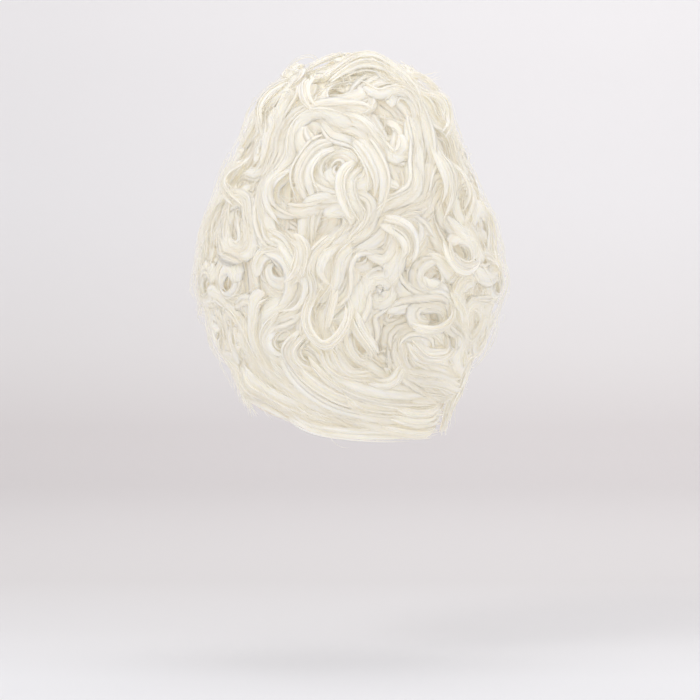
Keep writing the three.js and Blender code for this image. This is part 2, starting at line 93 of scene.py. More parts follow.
hairRows = ("crown_curls", "front_curls", "upper_back_curls", "middle_back_curls", "left_side_curls",
            "right_side_curls", "lower_back_curls", "nape_hair")
lock = {"radius": 0.018, "width": 0.020, "thickness": 0.007, "rootSink": 0.014, "tipSink": 0.004, "closing": 0.8,
        "proud": 0.0}
curlColumns = ("az", "height", "size", "wide", "lean", "way", "start", "sweep", "flare")
shownCurls = {
    "crown_curls": [
        (-2, 0.885, 1.45, 1.1, 10, 90, 215, -350, 50),
        (34, 0.862, 1.9, 1.3, 0, 0, 125, -160, 60),
        (-44, 0.87, 1.05, 1.0, 15, 180, 200, -300, 40),
        (68, 0.862, 1.1, 1.0, 20, 0, 100, -260, 40),
        (15, 0.958, 1.35, 1.1, 10, 90, 200, -230, 55),
        (172, 0.982, 1.5, 1.2, 0, 0, 60, 300, 55),
    ],
    "upper_back_curls": [
        (24, 0.752, 1.75, 1.15, 8, 90, 95, -270, 55),
        (22, 0.645, 1.65, 0.9, 0, 0, 60, -190, 60),
        (-5, 0.665, 1.45, 1.1, 0, 0, 110, 170, 60),
        (-49, 0.735, 1.1, 1.0, 15, 250, 190, -280, 30),
        (-30, 0.635, 1.3, 1.0, 0, 0, 100, 160, 60),
        (60, 0.765, 1.1, 1.0, 15, 0, 120, -240, 40),
        (-21, 0.78, 1.1, 0.9, 15, 90, 20, 230, 45),
        (51, 0.67, 1.15, 1.0, 0, 0, 110, -170, 50),
        (-60, 0.65, 1.1, 1.0, 20, 180, 60, 300, 35),
    ],
    "middle_back_curls": [
        (-46, 0.525, 1.0, 0.9, 20, 300, 150, -340, 12),
        (-53, 0.405, 1.25, 1.0, 5, 0, 95, 340, 42),
        (-27, 0.43, 1.6, 1.2, 8, 90, 100, -330, 60),
        (9, 0.36, 1.05, 0.85, 20, 200, 60, 340, 25),
        (31, 0.41, 1.3, 1.0, 10, 90, 130, 300, 40),
        (48, 0.48, 1.2, 0.9, 10, 90, 60, -200, 35),
        (-4, 0.55, 1.55, 1.15, 10, 90, 190, -210, 60),
        (4, 0.46, 1.3, 1.1, 10, 90, 80, 260, 50),
        (23, 0.53, 1.25, 1.0, 5, 90, 200, 250, 50),
    ],
    "lower_back_curls": [
        (-8, 0.32, 1.2, 0.85, 30, 350, 100, 335, 12),
        (33, 0.32, 1.3, 0.8, 0, 0, 20, -200, 50),
        (2, 0.25, 1.55, 1.1, 0, 0, 175, 150, 60),
        (29, 0.24, 1.15, 1.0, 10, 90, 100, 300, 45),
        (49, 0.25, 1.15, 1.0, 10, 90, 80, -300, 45),
        (-31, 0.26, 1.25, 1.1, 10, 90, 70, 280, 50),
        (-53, 0.235, 1.2, 1.1, 10, 90, 100, -280, 50),
    ],
    "nape_hair": [
        (-60, 0.14, 1.0, 1.0, 0, 90, 110, 220, 55),
        (62, 0.145, 0.95, 1.0, 0, 90, 80, -240, 50),
    ],
}
pairedCurls = {  # one on each side, the left one mirrored
    "crown_curls": [
        (104, 0.86, 1.6, 1.1, 10, 90, 290, 320, 40),
        (152, 0.865, 1.6, 1.2, 10, 90, 250, -320, 45),
        (118, 0.95, 1.35, 1.1, 0, 90, 250, -300, 50),
    ],
    "upper_back_curls": [
        (88, 0.7, 1.75, 1.15, 10, 270, 100, -300, 40),
    ],
    "front_curls": [
        (122, 0.735, 1.5, 1.1, 10, 270, 100, -300, 40),
        (162, 0.765, 1.5, 1.1, 10, 270, 80, 280, 50),
        (150, 0.66, 1.25, 1.0, 10, 270, 90, -300, 40),
    ],
    "side_curls": [
        (73, 0.55, 1.45, 1.0, 10, 0, 100, -300, 40),
        (74, 0.405, 1.45, 1.0, 10, 180, 90, -310, 40),
        (75, 0.255, 1.35, 1.0, 10, 90, 90, -300, 40),
        (99, 0.48, 1.6, 1.1, 10, 90, 80, 320, 45),
        (100, 0.32, 1.55, 1.1, 10, 90, 100, -320, 45),
        (121, 0.565, 1.5, 1.0, 10, 90, 80, 300, 45),
        (123, 0.41, 1.5, 1.0, 10, 90, 100, -300, 45),
    ],
}
sweptLocks = [  # from az and height, to az and height, bow, wide
    (-60, 0.19, 62, 0.035, 0.045, 1.4),
    (-40, 0.17, 63, 0.07, 0.03, 1.2),
    (-12, 0.16, 64, 0.105, 0.02, 1.1),
    (16, 0.17, 66, 0.14, 0.01, 1.0),
]


def asCurl(row):
    return dict(zip(curlColumns, row), deep=0.0)


def mirrored(curl):
    return dict(curl, az=-curl["az"], way=180 - curl["way"], start=180 - curl["start"], sweep=-curl["sweep"])


def curlsOf(name):
    side = {"left_side_curls": -1, "right_side_curls": 1}.get(name, 0)
    pairs = [asCurl(row) for row in pairedCurls.get("side_curls" if side else name, [])]
    curls = [asCurl(row) for row in shownCurls.get(name, [])]
    if side >= 0:
        curls += pairs
    if side <= 0:
        curls += [mirrored(curl) for curl in pairs]
    return curls


# Every main curl lies on a low mound of hair, which gives the outline its scallops

mound = {"height": 0.0085, "reach": 0.9, "valley": 0.0060, "napeValley": 0.0015, "middle": (0, 0, -0.09)}


def moundTable():
    curls = [curl for name in hairRows for curl in curlsOf(name)]
    return [(wigPoint(curl["az"], curl["height"]), curl["size"] * lock["radius"] * mound["reach"]) for curl in curls]


def onMounds(points, table):
    level = np.zeros(len(points))
    for peak, reach in table:
        level += np.log1p(-0.999 * np.exp(-np.sum((points - peak) ** 2, axis=1) / reach ** 2))
    valley = mound["napeValley"] + (mound["valley"] - mound["napeValley"]) * smoothstep(-0.245, -0.16, points[:, 2])
    rise = mound["height"] * (1 - np.exp(level)) - valley
    return points + unit(points - np.array(mound["middle"])) * rise[:, None]


def bandTaper(s):
    return 0.5 + 0.5 * np.sin(math.pi * np.clip(s, 0.02, 0.98)) ** 0.6


def turned(v, axis, angle):
    return (v * math.cos(angle) + np.cross(axis, v) * math.sin(angle)
            + axis * np.dot(axis, v) * (1 - math.cos(angle)))


# The place of a point in a curl: s along the lock, across as a share of its half width, out of its face in metres.
# Turn and grow shift a strand round the loop and away from its middle. Before 0 the lock comes in over the hair round
# it, in a widening turn, and past 1 it winds on into the curl.

curlEnds = {"tailTurn": 80, "tailSpread": 1.4, "innerTurn": 150, "innerClosing": 0.5, "innerSink": 0.005,
            "fullSweep": 250, "shortTurn": 30, "flatTop": 0.97, "broader": 1.15, "laidFlare": 75, "flatter": 0.3}


def endsOf(curl):
    sweep = abs(curl["sweep"])
    tail = curlEnds["tailTurn" if curl["height"] < curlEnds["flatTop"] else "shortTurn"]
    inner = curlEnds["innerTurn" if sweep >= curlEnds["fullSweep"] else "shortTurn"]
    return tail / sweep, inner / sweep


def curlPlace(curl, s, across, out, turn=0.0, grow=1.0):
    right, up, normal = surfaceFrame(curl["az"], curl["height"])
    way, lean = math.radians(curl["way"]), math.radians(curl["lean"])
    flare = math.radians(curl["flare"] + (curlEnds["laidFlare"] - curl["flare"]) * curlEnds["flatter"])
    hinge = np.cross(normal, right * math.cos(way) + up * math.sin(way))
    axis, loopRight, loopUp = [turned(v, hinge, lean) for v in (normal, right, up)]
    tail, inner = endsOf(curl)
    radius = curl["size"] * lock["radius"]
    halfWide = curl["wide"] * lock["width"] / 2 * curlEnds["broader"]
    closing = lock["closing"] * curl["flare"] / 90 * abs(curl["sweep"]) / 360
    depth = halfWide * math.cos(flare) + lock["thickness"] / 2 + radius * math.sin(lean) / 2 + curl["deep"] - lock["proud"]
    middle = wigPoint(curl["az"], curl["height"]) - normal * depth

    before, past = np.clip(-s / tail, 0, 1), np.clip((s - 1) / inner, 0, 1)
    angle = np.radians(curl["start"] + curl["sweep"] * s + turn)
    reach = radius * grow * (1 - closing * np.clip(s, 0, 1)) * (1 + curlEnds["tailSpread"] * before ** 1.4)
    reach = reach * (1 - curlEnds["innerClosing"] * past)
    sink = lock["rootSink"] * before ** 1.5 + lock["tipSink"] * smoothstep(0.8, 1, s) + curlEnds["innerSink"] * past
    cos, sin = np.cos(angle)[..., None], np.sin(angle)[..., None]
    radial = loopRight * cos + loopUp * sin

    overAz = np.linalg.norm(wigPoint(curl["az"] + 1, curl["height"]) - wigPoint(curl["az"] - 1, curl["height"])) / 2
    overHeight = np.linalg.norm(wigPoint(curl["az"], curl["height"] + 0.01) - wigPoint(curl["az"], curl["height"] - 0.01)) / 0.02
    az = curl["az"] + reach * np.cos(angle) / overAz
    height = np.clip(curl["height"] + reach * np.sin(angle) / overHeight, 0.0, 0.985)
    laid = smoothstep(-0.1, 0.7, before)[..., None]
    localRight, localUp, localNormal = surfaceFrame(az, height)
    onSurface = wigPoint(az, height) - localNormal * depth
    centre = (middle + radial * reach[..., None]) * (1 - laid) + onSurface * laid
    tilted = unit(axis * (1 - laid) + localNormal * laid)
    outwards = unit(radial * (1 - laid) + (localRight * cos + localUp * sin) * laid)
    flat = tilted * math.cos(flare) - outwards * math.sin(flare)
    face = tilted * math.sin(flare) + outwards * math.cos(flare)
    width = halfWide * (0.5 + 0.5 * np.sin(math.pi * np.clip((s + tail) / (1 + tail + inner), 0.02, 0.98)) ** 0.6)
    return centre - tilted * sink[..., None] + flat * (across * width)[..., None] + face * out[..., None]


def sweptPlace(swept, s, across, out, turn=0.0, grow=1.0):
    fromAz, fromHeight, toAz, toHeight, bow, wide = swept

    def spot(t):
        az = fromAz + (toAz - fromAz) * t
        height = fromHeight + (toHeight - fromHeight) * t - bow * np.sin(math.pi * t)
        return az, height

    az, height = spot(s)
    _, _, normal = surfaceFrame(az, height)
    forward = unit(wigPoint(*spot(s + 0.02)) - wigPoint(*spot(s - 0.02)))
    flat = unit(np.cross(normal, forward))
    halfWide = wide * lock["width"] / 2
    sink = lock["thickness"] / 2 + 0.004 * (1 - smoothstep(0, 0.3, s))
    return (wigPoint(az, height) + normal * (out - sink)[..., None]
            + flat * (across * halfWide * bandTaper(s))[..., None])


# Many closed tubes at once. Each has a start and end along the lock, a place across and out of it, and its own half
# sizes; the place function bends them all.

bandCorners = np.array([0, 42, 90, 138, 180, 270])  # a band is round on its face and plain behind


def tubes(place, shape, halfWide, length, flip):
    count, rings, sides = len(shape["across"]), shape["rings"], shape["sides"]

    def col(name, otherwise=0.0):
        return np.broadcast_to(np.asarray(shape.get(name, otherwise), float), (count,))[:, None, None]

    halfWide = np.broadcast_to(halfWide, (count,))[:, None, None]
    length = np.broadcast_to(length, (count,))[:, None, None]
    along = np.linspace(0, 1, rings)[None, :, None]
    s = col("start") + (col("end") - col("start")) * along
    tip = np.clip(1 - np.abs(2 * along - 1) ** shape["blunt"], 0.0, 1) ** 0.5 * (1 - shape["thinning"] * along ** 2)
    tip = np.maximum(tip * (1 - col("root") * (1 - along) ** 4), 0.06)
    phi = np.radians(bandCorners if sides == len(bandCorners) else np.arange(sides) / sides * 360)[None, None, :]
    ripple = 2 * math.pi * (col("waves") * along + col("phase"))
    middle = col("across") * (1 + col("splay") * smoothstep(0.5, 1, along)) + col("wave") * np.sin(ripple)
    local = col("halfAcross") * tip * np.cos(phi)
    across = middle + local
    out = col("out") + col("lift") * smoothstep(0.6, 1, along) + col("bob") * np.sin(1.3 * ripple)
    out = out + col("halfOut") * tip * np.sin(phi) - col("crown") * local ** 2
    s, across, out = np.broadcast_arrays(s, across, out)
    points = place(s, across, out, col("turn"), col("grow", 1.0))
    i = np.arange(rings - 1)[:, None] * sides
    j = np.arange(sides)[None, :]
    k = (j + 1) % sides
    quads = np.stack([i + j, i + k, i + sides + k, i + sides + j], -1).reshape(-1, 4)
    first, last = np.arange(sides)[::-1], np.arange(sides) + (rings - 1) * sides
    if flip:
        quads, first, last = quads[:, ::-1], first[::-1], last[::-1]
    base = (np.arange(count) * rings * sides)[:, None, None]
    u, v = across * halfWide * 100 + col("seed"), s * length * 100 + col("seed") * 3
    return {
        "points": points.reshape(-1, 3),
        "quads": (quads[None] + base).reshape(-1, 4),
        "caps": (np.stack([first, last])[None] + base).reshape(-1, sides),
        "uv": np.stack([u.ravel(), v.ravel()], -1),
        "toneAndPaintedShading": np.broadcast_to(col("toneAndPaintedShading"), s.shape).ravel(),
    }


def meshOf(name, parts):
    points, uv, toneAndPaintedShading, loops, sizes = [], [], [], [], []
    base = 0
    for part in parts:
        points.append(part["points"])
        uv.append(part["uv"])
        toneAndPaintedShading.append(part["toneAndPaintedShading"])
        for faces in (part["quads"], part["caps"]):
            loops.append((faces + base).ravel())
            sizes.append(np.full(len(faces), faces.shape[1]))
        base += len(part["points"])
    points, uv, toneAndPaintedShading, loops, sizes = [np.concatenate(x) for x in (points, uv, toneAndPaintedShading, loops, sizes)]
    mesh = bpy.data.meshes.new(name)
    mesh.vertices.add(len(points))
    mesh.vertices.foreach_set("co", points.ravel())
    mesh.loops.add(len(loops))
    mesh.loops.foreach_set("vertex_index", loops)
    mesh.polygons.add(len(sizes))
    mesh.polygons.foreach_set("loop_start", np.concatenate([[0], np.cumsum(sizes)[:-1]]))
    mesh.update(calc_edges=True)
    mesh.uv_layers.new(name="strandUv").data.foreach_set("uv", uv[loops].ravel())
    # tone per point: random strand tone, with painted shade on the deep layers and painted light on the curls
    mesh.attributes.new("toneAndPaintedShading", "FLOAT", "POINT").data.foreach_set("value", toneAndPaintedShading)
    mesh.polygons.foreach_set("use_smooth", np.ones(len(sizes), bool))
    obj = bpy.data.objects.new(name, mesh)
    bpy.context.scene.collection.objects.link(obj)
    return obj


# Hair of one lock: broad bands, narrow slips over them and fine threads

outerLock = {"bands": 3, "bandRings": 26, "bandSides": 6, "slips": 4, "slipRings": 20, "slipSides": 4,
             "fine": 6, "fineRings": 15, "fineRadius": 0.00030, "thinning": 0.45, "stagger": 0.1,
             "root": 0.85}
innerLock = {"bands": 2, "bandRings": 20, "bandSides": 6, "slips": 2, "slipRings": 16, "slipSides": 4,
             "fine": 3, "fineRings": 12, "fineRadius": 0.00030, "thinning": 0.45, "stagger": 0.1,
             "root": 0.85}
ledHair = {"bands": 2, "bandRings": 22, "bandSides": 6, "slips": 3, "slipRings": 16, "slipSides": 4,
           "fine": 5, "fineRings": 13, "fineRadius": 0.00030, "thinning": 0.8, "stagger": 0.24,
           "root": 0.6}


def hairOn(place, rng, length, halfWide, kind, flip, first=0.0, last=1.0):
    n = kind["bands"]
    a = np.linspace(-0.38, 0.38, n) + rng.normal(0, 0.06, n)
    # the broad bands are toned lighter than the rest, so curls and led locks stand out over the darker streams: painted
    # light, besides random tone
    band = {
        "across": a, "halfAcross": rng.uniform(0.58, 0.72, n), "halfOut": rng.uniform(0.0013, 0.0019, n),
        "out": 0.0006 * rng.permutation(n), "crown": 0.004, "start": first + rng.uniform(0, 0.04, n),
        "end": last * (1.03 - kind["stagger"] * rng.uniform(0, 1, n)), "turn": rng.normal(0, 3, n), "grow": rng.normal(1, 0.025, n),
        "splay": rng.uniform(-0.2, 0.3, n), "lift": rng.normal(0, 0.001, n), "toneAndPaintedShading": rng.normal(0.5, 0.5, n),
        "seed": rng.uniform(0, 50, n), "wave": 0.04, "waves": rng.uniform(0.5, 1.2, n), "phase": rng.uniform(0, 1, n),
        "rings": kind["bandRings"], "sides": kind["bandSides"],
        "blunt": 5, "thinning": kind["thinning"], "root": kind.get("root", 0.0),
    }
    n = kind["slips"]
    a = np.clip(rng.choice((-0.75, 0.0, 0.75), n) + rng.normal(0, 0.25, n), -1.05, 1.05)
    slip = {
        "across": a, "halfAcross": rng.uniform(0.1, 0.26, n), "halfOut": rng.uniform(0.0005, 0.0009, n),
        "out": 0.0022 - 0.0028 * a ** 2 + rng.normal(0, 0.0003, n), "start": first + rng.uniform(0, 0.15, n),
        "end": last * rng.uniform(0.75, 1.04, n), "turn": rng.normal(0, 5, n), "grow": rng.normal(1, 0.03, n),
        "splay": rng.uniform(-0.4, 0.4, n), "lift": rng.normal(0, 0.0015, n), "toneAndPaintedShading": rng.normal(0, 0.8, n),
        "seed": rng.uniform(0, 50, n), "wave": rng.uniform(0, 0.08, n), "waves": rng.uniform(0.5, 1.5, n),
        "phase": rng.uniform(0, 1, n), "rings": kind["slipRings"], "sides": kind["slipSides"], "blunt": 3, "thinning": 0.6,
    }
    n = kind["fine"]
    a = rng.uniform(-1.08, 1.08, n)
    thread = {
        "across": a, "halfAcross": kind["fineRadius"] / halfWide, "halfOut": kind["fineRadius"],
        "out": 0.0028 - 0.0028 * a ** 2 + rng.normal(0, 0.0005, n), "start": first + rng.uniform(0, 0.3, n),
        "end": last * rng.uniform(0.7, 1.05, n), "turn": rng.normal(0, 4, n), "grow": rng.normal(1, 0.02, n),
        "splay": rng.uniform(-0.3, 0.3, n), "lift": rng.normal(0, 0.002, n), "toneAndPaintedShading": rng.normal(0, 1, n),
        "seed": rng.uniform(0, 50, n), "wave": rng.uniform(0, 0.08, n), "bob": rng.uniform(0, 0.0005, n),
        "waves": rng.uniform(0.7, 2.0, n), "phase": rng.uniform(0, 1, n), "rings": kind["fineRings"], "sides": 3,
        "blunt": 10, "thinning": 0.5,
    }
    return [tubes(place, shape, halfWide, length, flip) for shape in (band, slip, thread)]


# Flow of the hair between the curls: down the head, turning round every curl, and swept to the right over the nape

faceLine = np.array([(-0.4, 1.05), (-0.1, 0.86), (0.3, 0.74), (0.54, 0.56), (0.62, 0.38), (0.74, 0.22), (0.97, 0.135), (1.5, 0.1)])
head = {"width": 0.152, "length": 0.194, "drop": 0.275, "clear": 0.006}
headSections = np.array([  # drop, half, back, front, as shares
    (0.0, 0.0, 0.0, 0.0),
    (0.03, 0.39, 0.39, 0.39),
    (0.11, 0.7, 0.7, 0.7),
    (0.22, 0.905, 0.9, 0.9),
    (0.38, 1.0, 1.0, 1.0),
    (0.545, 0.97, 0.94, 0.98),
    (0.67, 0.91, 0.85, 0.93),
    (0.78, 0.85, 0.79, 0.88),
])
hemLine = np.array([(-1.2, 0.3), (-0.84, 0.19), (-0.74, 0.12), (-0.62, 0.072), (-0.38, 0.042), (-0.19, 0.012),
                    (0.54, 0.004), (0.58, 0.05), (0.66, 0.11), (0.8, 0.17), (1.2, 0.3)])
rows = {"crown": 0.8, "upper": 0.6, "middle": 0.345, "nape": 0.165, "ahead": 0.3, "sideTurn": 57}
napeFlow = np.array([(-180, -90), (-75, -75), (-50, -58), (-20, -46), (10, -28), (40, -12), (60, -5), (75, -4), (180, -90)])
napeFlat = 0.55  # how much of that slope is left at the lowest edge
flow = {"seed": 7, "eddies": 90, "spacing": 0.022, "reach": 0.024, "step": 0.0035, "steps": 44, "smoothing": 8}
layers = [  # spacing, over the padded base by, half width, length and heights from and to, pull of the swirls, tone, which holds painted shade: the deeper layers are darker
    (0.0125, -0.0015, 0.008, 0.013, 0.06, 0.15, 0.0, 1.0, 0.5, -2.6),
    (0.0150, 0.0010, 0.007, 0.011, 0.06, 0.14, 0.0, 1.0, 2.6, -0.9),
    (0.0190, 0.0055, 0.007, 0.012, 0.05, 0.12, 0.2, 1.0, 2.6, 0.2),
    (0.0150, 0.0035, 0.005, 0.009, 0.05, 0.11, 0.10, 0.24, 2.6, 0.2),
    (0.0130, 0.0020, 0.004, 0.008, 0.05, 0.12, 0.0, 0.16, 2.6, 0.2),
]


def paddingDepth(height):  # how deep the padded base lies under the outline
    return 0.012 * (0.3 + 0.7 * smoothstep(0, 0.25, height))


def rowAt(az, height, point):
    if height > rows["crown"]:
        return "crown_curls"
    if height > rows["upper"]:
        return "front_curls" if point[1] > rows["ahead"] * head["length"] / 2 else "upper_back_curls"
    if height < rows["nape"]:
        return "nape_hair"
    if abs(az) > rows["sideTurn"]:
        return "left_side_curls" if az < 0 else "right_side_curls"
    return "middle_back_curls" if height > rows["middle"] else "lower_back_curls"


def onHair(point, height, edge=0.010):  # behind the face and over the hem
    ahead = np.interp(-point[..., 2], faceLine[::-1, 1] * head["drop"], faceLine[::-1, 0]) * head["length"] / 2
    hem = np.interp(point[..., 0] / (wig["width"] / 2), hemLine[:, 0], hemLine[:, 1])
    return (point[..., 1] < ahead - edge) & (height > hem + 0.022)


def scattered(rng, spacing, tries, low=0.0, high=1.0):
    az, height, taken = [], [], np.empty((0, 3))
    for _ in range(tries):
        a, h = rng.uniform(-180, 180), rng.uniform(max(low, 0.005), min(high, 0.985))
        if rng.uniform() > eased(wigSections, h, 1):
            continue
        point = wigPoint(a, h)
        if not onHair(point, h) or (len(taken) and np.min(np.sum((taken - point) ** 2, axis=1)) < spacing ** 2):
            continue
        taken = np.vstack([taken, point])
        az.append(a)
        height.append(h)
    return np.array(az), np.array(height)


def eddyTable(rng):
    found = []
    small = {name: [] for name in hairRows}
    for name in hairRows:
        for curl in curlsOf(name):
            turnWay = 1 if curl["sweep"] > 0 else -1
            found.append((*wigPoint(curl["az"], curl["height"]), curl["size"] * lock["radius"], turnWay))
    az, height = scattered(rng, flow["spacing"], 4000)
    for a, h in zip(az, height):
        point = wigPoint(a, h)
        table = np.array(found)
        clear = np.min(np.linalg.norm(table[:, :3] - point, axis=1) - table[:, 3]) > 0.006
        if clear and h > rows["nape"] + 0.03:
            turnWay = rng.choice((-1, 1))
            radius = rng.uniform(0.009, 0.015)
            found.append((*point, radius, turnWay))
            small[rowAt(a, h, point)].append({
                "az": a, "height": h, "size": radius / lock["radius"], "wide": rng.uniform(0.7, 1.0),
                "lean": rng.uniform(0, 20), "way": rng.uniform(0, 360), "start": rng.uniform(0, 360),
                "sweep": turnWay * rng.uniform(230, 340), "flare": rng.uniform(25, 60),
                "deep": rng.uniform(-0.001, 0.004)})
    return np.array(found), small


def flowAt(az, height, eddies, strength):
    point = wigPoint(az, height)
    right, up, normal = surfaceFrame(az, height)
    down = -90 + 26 * np.sin(np.radians(az * 3) + height * 22) + 12 * np.sin(height * 37 + az * 0.07)
    nape = np.interp(az, napeFlow[:, 0], napeFlow[:, 1]) * (napeFlat + (1 - napeFlat) * smoothstep(0.02, 0.16, height))
    nape = nape + 9 * np.sin(az * 0.09 + height * 55)
    share = 1 - smoothstep(rows["nape"] - 0.01, rows["nape"] + 0.06, height)
    angle = np.radians(down * (1 - share) + nape * share)[..., None]
    way = right * np.cos(angle) + up * np.sin(angle)
    away = point[..., None, :] - eddies[:, :3]
    distance = np.linalg.norm(away, axis=-1, keepdims=True)
    radius = eddies[:, 3][:, None]
    pull = np.exp(-(distance / (radius * 1.25)) ** 2) * strength * (1 - share)[..., None, None]
    spin = eddies[:, 4][:, None] * np.cross(normal[..., None, :], away) / np.maximum(distance, 1e-4)
    settle = (distance - radius * 0.75) / radius * away / np.maximum(distance, 1e-4)
    way = way + np.sum(pull * (spin - 0.35 * settle), axis=-2)
    return unit(way - normal * np.sum(way * normal, -1, keepdims=True))


def traced(az, height, eddies, strength):
    track = [(az, height)]
    for _ in range(flow["steps"]):
        way = flowAt(az, height, eddies, strength) * flow["step"]
        overAz = (wigPoint(az + 0.5, height) - wigPoint(az - 0.5, height))
        overHeight = (wigPoint(az, height + 0.002) - wigPoint(az, height - 0.002)) / 0.004
        aa, ab, bb = [np.sum(p * q, -1) for p, q in ((overAz, overAz), (overAz, overHeight), (overHeight, overHeight))]
        ra, rb = np.sum(overAz * way, -1), np.sum(overHeight * way, -1)
        det = np.maximum(aa * bb - ab ** 2, 1e-14)
        az = az + np.clip((ra * bb - rb * ab) / det, -25, 25)
        height = np.clip(height + (rb * aa - ra * ab) / det, 0.0, 0.992)
        track.append((az, height))
    az, height = np.array(track).transpose(1, 2, 0)
    inside = onHair(wigPoint(az, height), height, 0.004)
    last = np.where(inside.all(1), flow["steps"], np.argmin(inside, axis=1) - 1)
    return az, height, np.maximum(last, 0)


def streamPlace(az, height, reach, which, halfWide, deep, bulge, lifted=0.0):
    centre = wigPoint(az, height)
    _, _, normal = surfaceFrame(az, height)
    for _ in range(flow["smoothing"]):
        centre[:, 1:-1] = centre[:, 1:-1] / 2 + (centre[:, :-2] + centre[:, 2:]) / 4
        normal[:, 1:-1] = normal[:, 1:-1] / 2 + (normal[:, :-2] + normal[:, 2:]) / 4
    ahead = np.gradient(centre, axis=1)
    flat = unit(np.cross(normal, ahead))

    def at(values, f):
        i = np.clip(np.floor(f).astype(int), 0, values.shape[1] - 2)
        t = (f - i)[..., None]
        n = which[:, None, None]
        return values[n, i] * (1 - t) + values[n, i + 1] * t

    def place(s, across, out, turn, grow):
        f = np.clip(s, 0, 1.0) * reach[which][:, None, None]
        n = unit(at(normal, f))
        side = unit(at(flat, f))
        roll = np.radians(turn)[..., None]
        side, n = side * np.cos(roll) + n * np.sin(roll), n * np.cos(roll) - side * np.sin(roll)
        sunk = deep[which][:, None, None] * (1 - lifted * smoothstep(0.5, 1, s))
        rise = bulge[which][:, None, None] * np.sin(math.pi * np.clip(s, 0, 1)) - sunk
        return (at(centre, f) + at(normal, f) * rise[..., None]
                + side * (across * halfWide[which][:, None, None])[..., None] + n * out[..., None])

    return place


def streams(rng, eddies):
    found = {name: [] for name in hairRows}
    total = 0
    for spacing, over, wideLow, wideHigh, lengthLow, lengthHigh, heightLow, heightHigh, strength, toneAndPaintedShading in layers:
        az, height = scattered(rng, spacing, 9000, heightLow, heightHigh)
        az, height, last = traced(az, height, eddies, strength)
        reach = np.minimum(last, rng.uniform(lengthLow, lengthHigh, len(last)) / flow["step"])
        good = reach * flow["step"] > 0.02
        az, height, reach = az[good], height[good], reach[good]
        n = len(reach)
        total += n
        halfWide = rng.uniform(wideLow, wideHigh, n) * np.clip(reach * flow["step"] / 0.06, 0.5, 1.1)
        level = np.maximum(paddingDepth(height[:, 0]) - rng.normal(over, 0.0008, n), 0.0015)
        bulge = rng.uniform(0.0005, 0.003, n)
        middle = (reach / 2).astype(int)
        midAz, midHeight = az[np.arange(n), middle], height[np.arange(n), middle]
        spots = wigPoint(midAz, midHeight)
        owner = np.array([rowAt((a + 180) % 360 - 180, h, p) for a, h, p in zip(midAz, midHeight, spots)])
        for name in hairRows:
            own = np.flatnonzero(owner == name)
            if not len(own):
                continue
            for copies, shape in (
                (1, {"halfAcross": (0.9, 1.1), "halfOut": (0.0011, 0.0017), "crown": 0.0032,
                     "rings": 15, "sides": 6, "blunt": 3, "thinning": 0.55, "spread": 0.0, "out": 0.0, "turn": 12}),
                (1, {"halfAcross": (0.16, 0.4), "halfOut": (0.0005, 0.0009), "crown": 0.0,
                     "rings": 13, "sides": 4, "blunt": 3, "thinning": 0.6, "spread": 0.85, "out": 0.0015, "turn": 12}),
                (1, {"halfAcross": (0.03, 0.05), "halfOut": (0.0002, 0.0003), "crown": 0.0,
                     "rings": 11, "sides": 3, "blunt": 8, "thinning": 0.4, "spread": 1.15, "out": 0.0022, "turn": 12}),
            ):
                which = np.repeat(own, copies)
                m = len(which)
                a = rng.uniform(-1, 1, m) * shape["spread"]
                place = streamPlace(az, height, reach, which, halfWide, level, bulge)
                table = {
                    "across": a, "halfAcross": rng.uniform(*shape["halfAcross"], m),
                    "halfOut": rng.uniform(*shape["halfOut"], m), "crown": shape["crown"],
                    "out": shape["out"] - 0.0026 * a ** 2 + rng.normal(0, 0.0003, m), "start": rng.uniform(0, 0.12, m),
                    "end": rng.uniform(0.88, 1.0, m), "turn": np.repeat(rng.normal(0, shape["turn"], len(own)), copies),
                    "splay": rng.uniform(-0.5, 0.2, m), "toneAndPaintedShading": toneAndPaintedShading + rng.normal(0, 0.6, m), "seed": rng.uniform(0, 50, m),
                    "wave": rng.uniform(0, 0.1, m), "waves": rng.uniform(0.5, 1.5, m), "phase": rng.uniform(0, 1, m),
                    "rings": shape["rings"],
                    "sides": shape["sides"], "blunt": shape["blunt"], "thinning": shape["thinning"],
                }
                found[name].append(tubes(place, table, halfWide[which], reach[which] * flow["step"], False))
    print("locks laid along the flow:", total)
    return found


# Single threads that stand off the curls

fly = {"spacing": 0.013, "length": (0.02, 0.12), "off": (-0.004, 0.002), "rise": (0.0, 0.005), "radius": (0.00016, 0.0003),
       "wave": 0.0025, "lift": 0.004, "each": 2, "pull": 2.6}


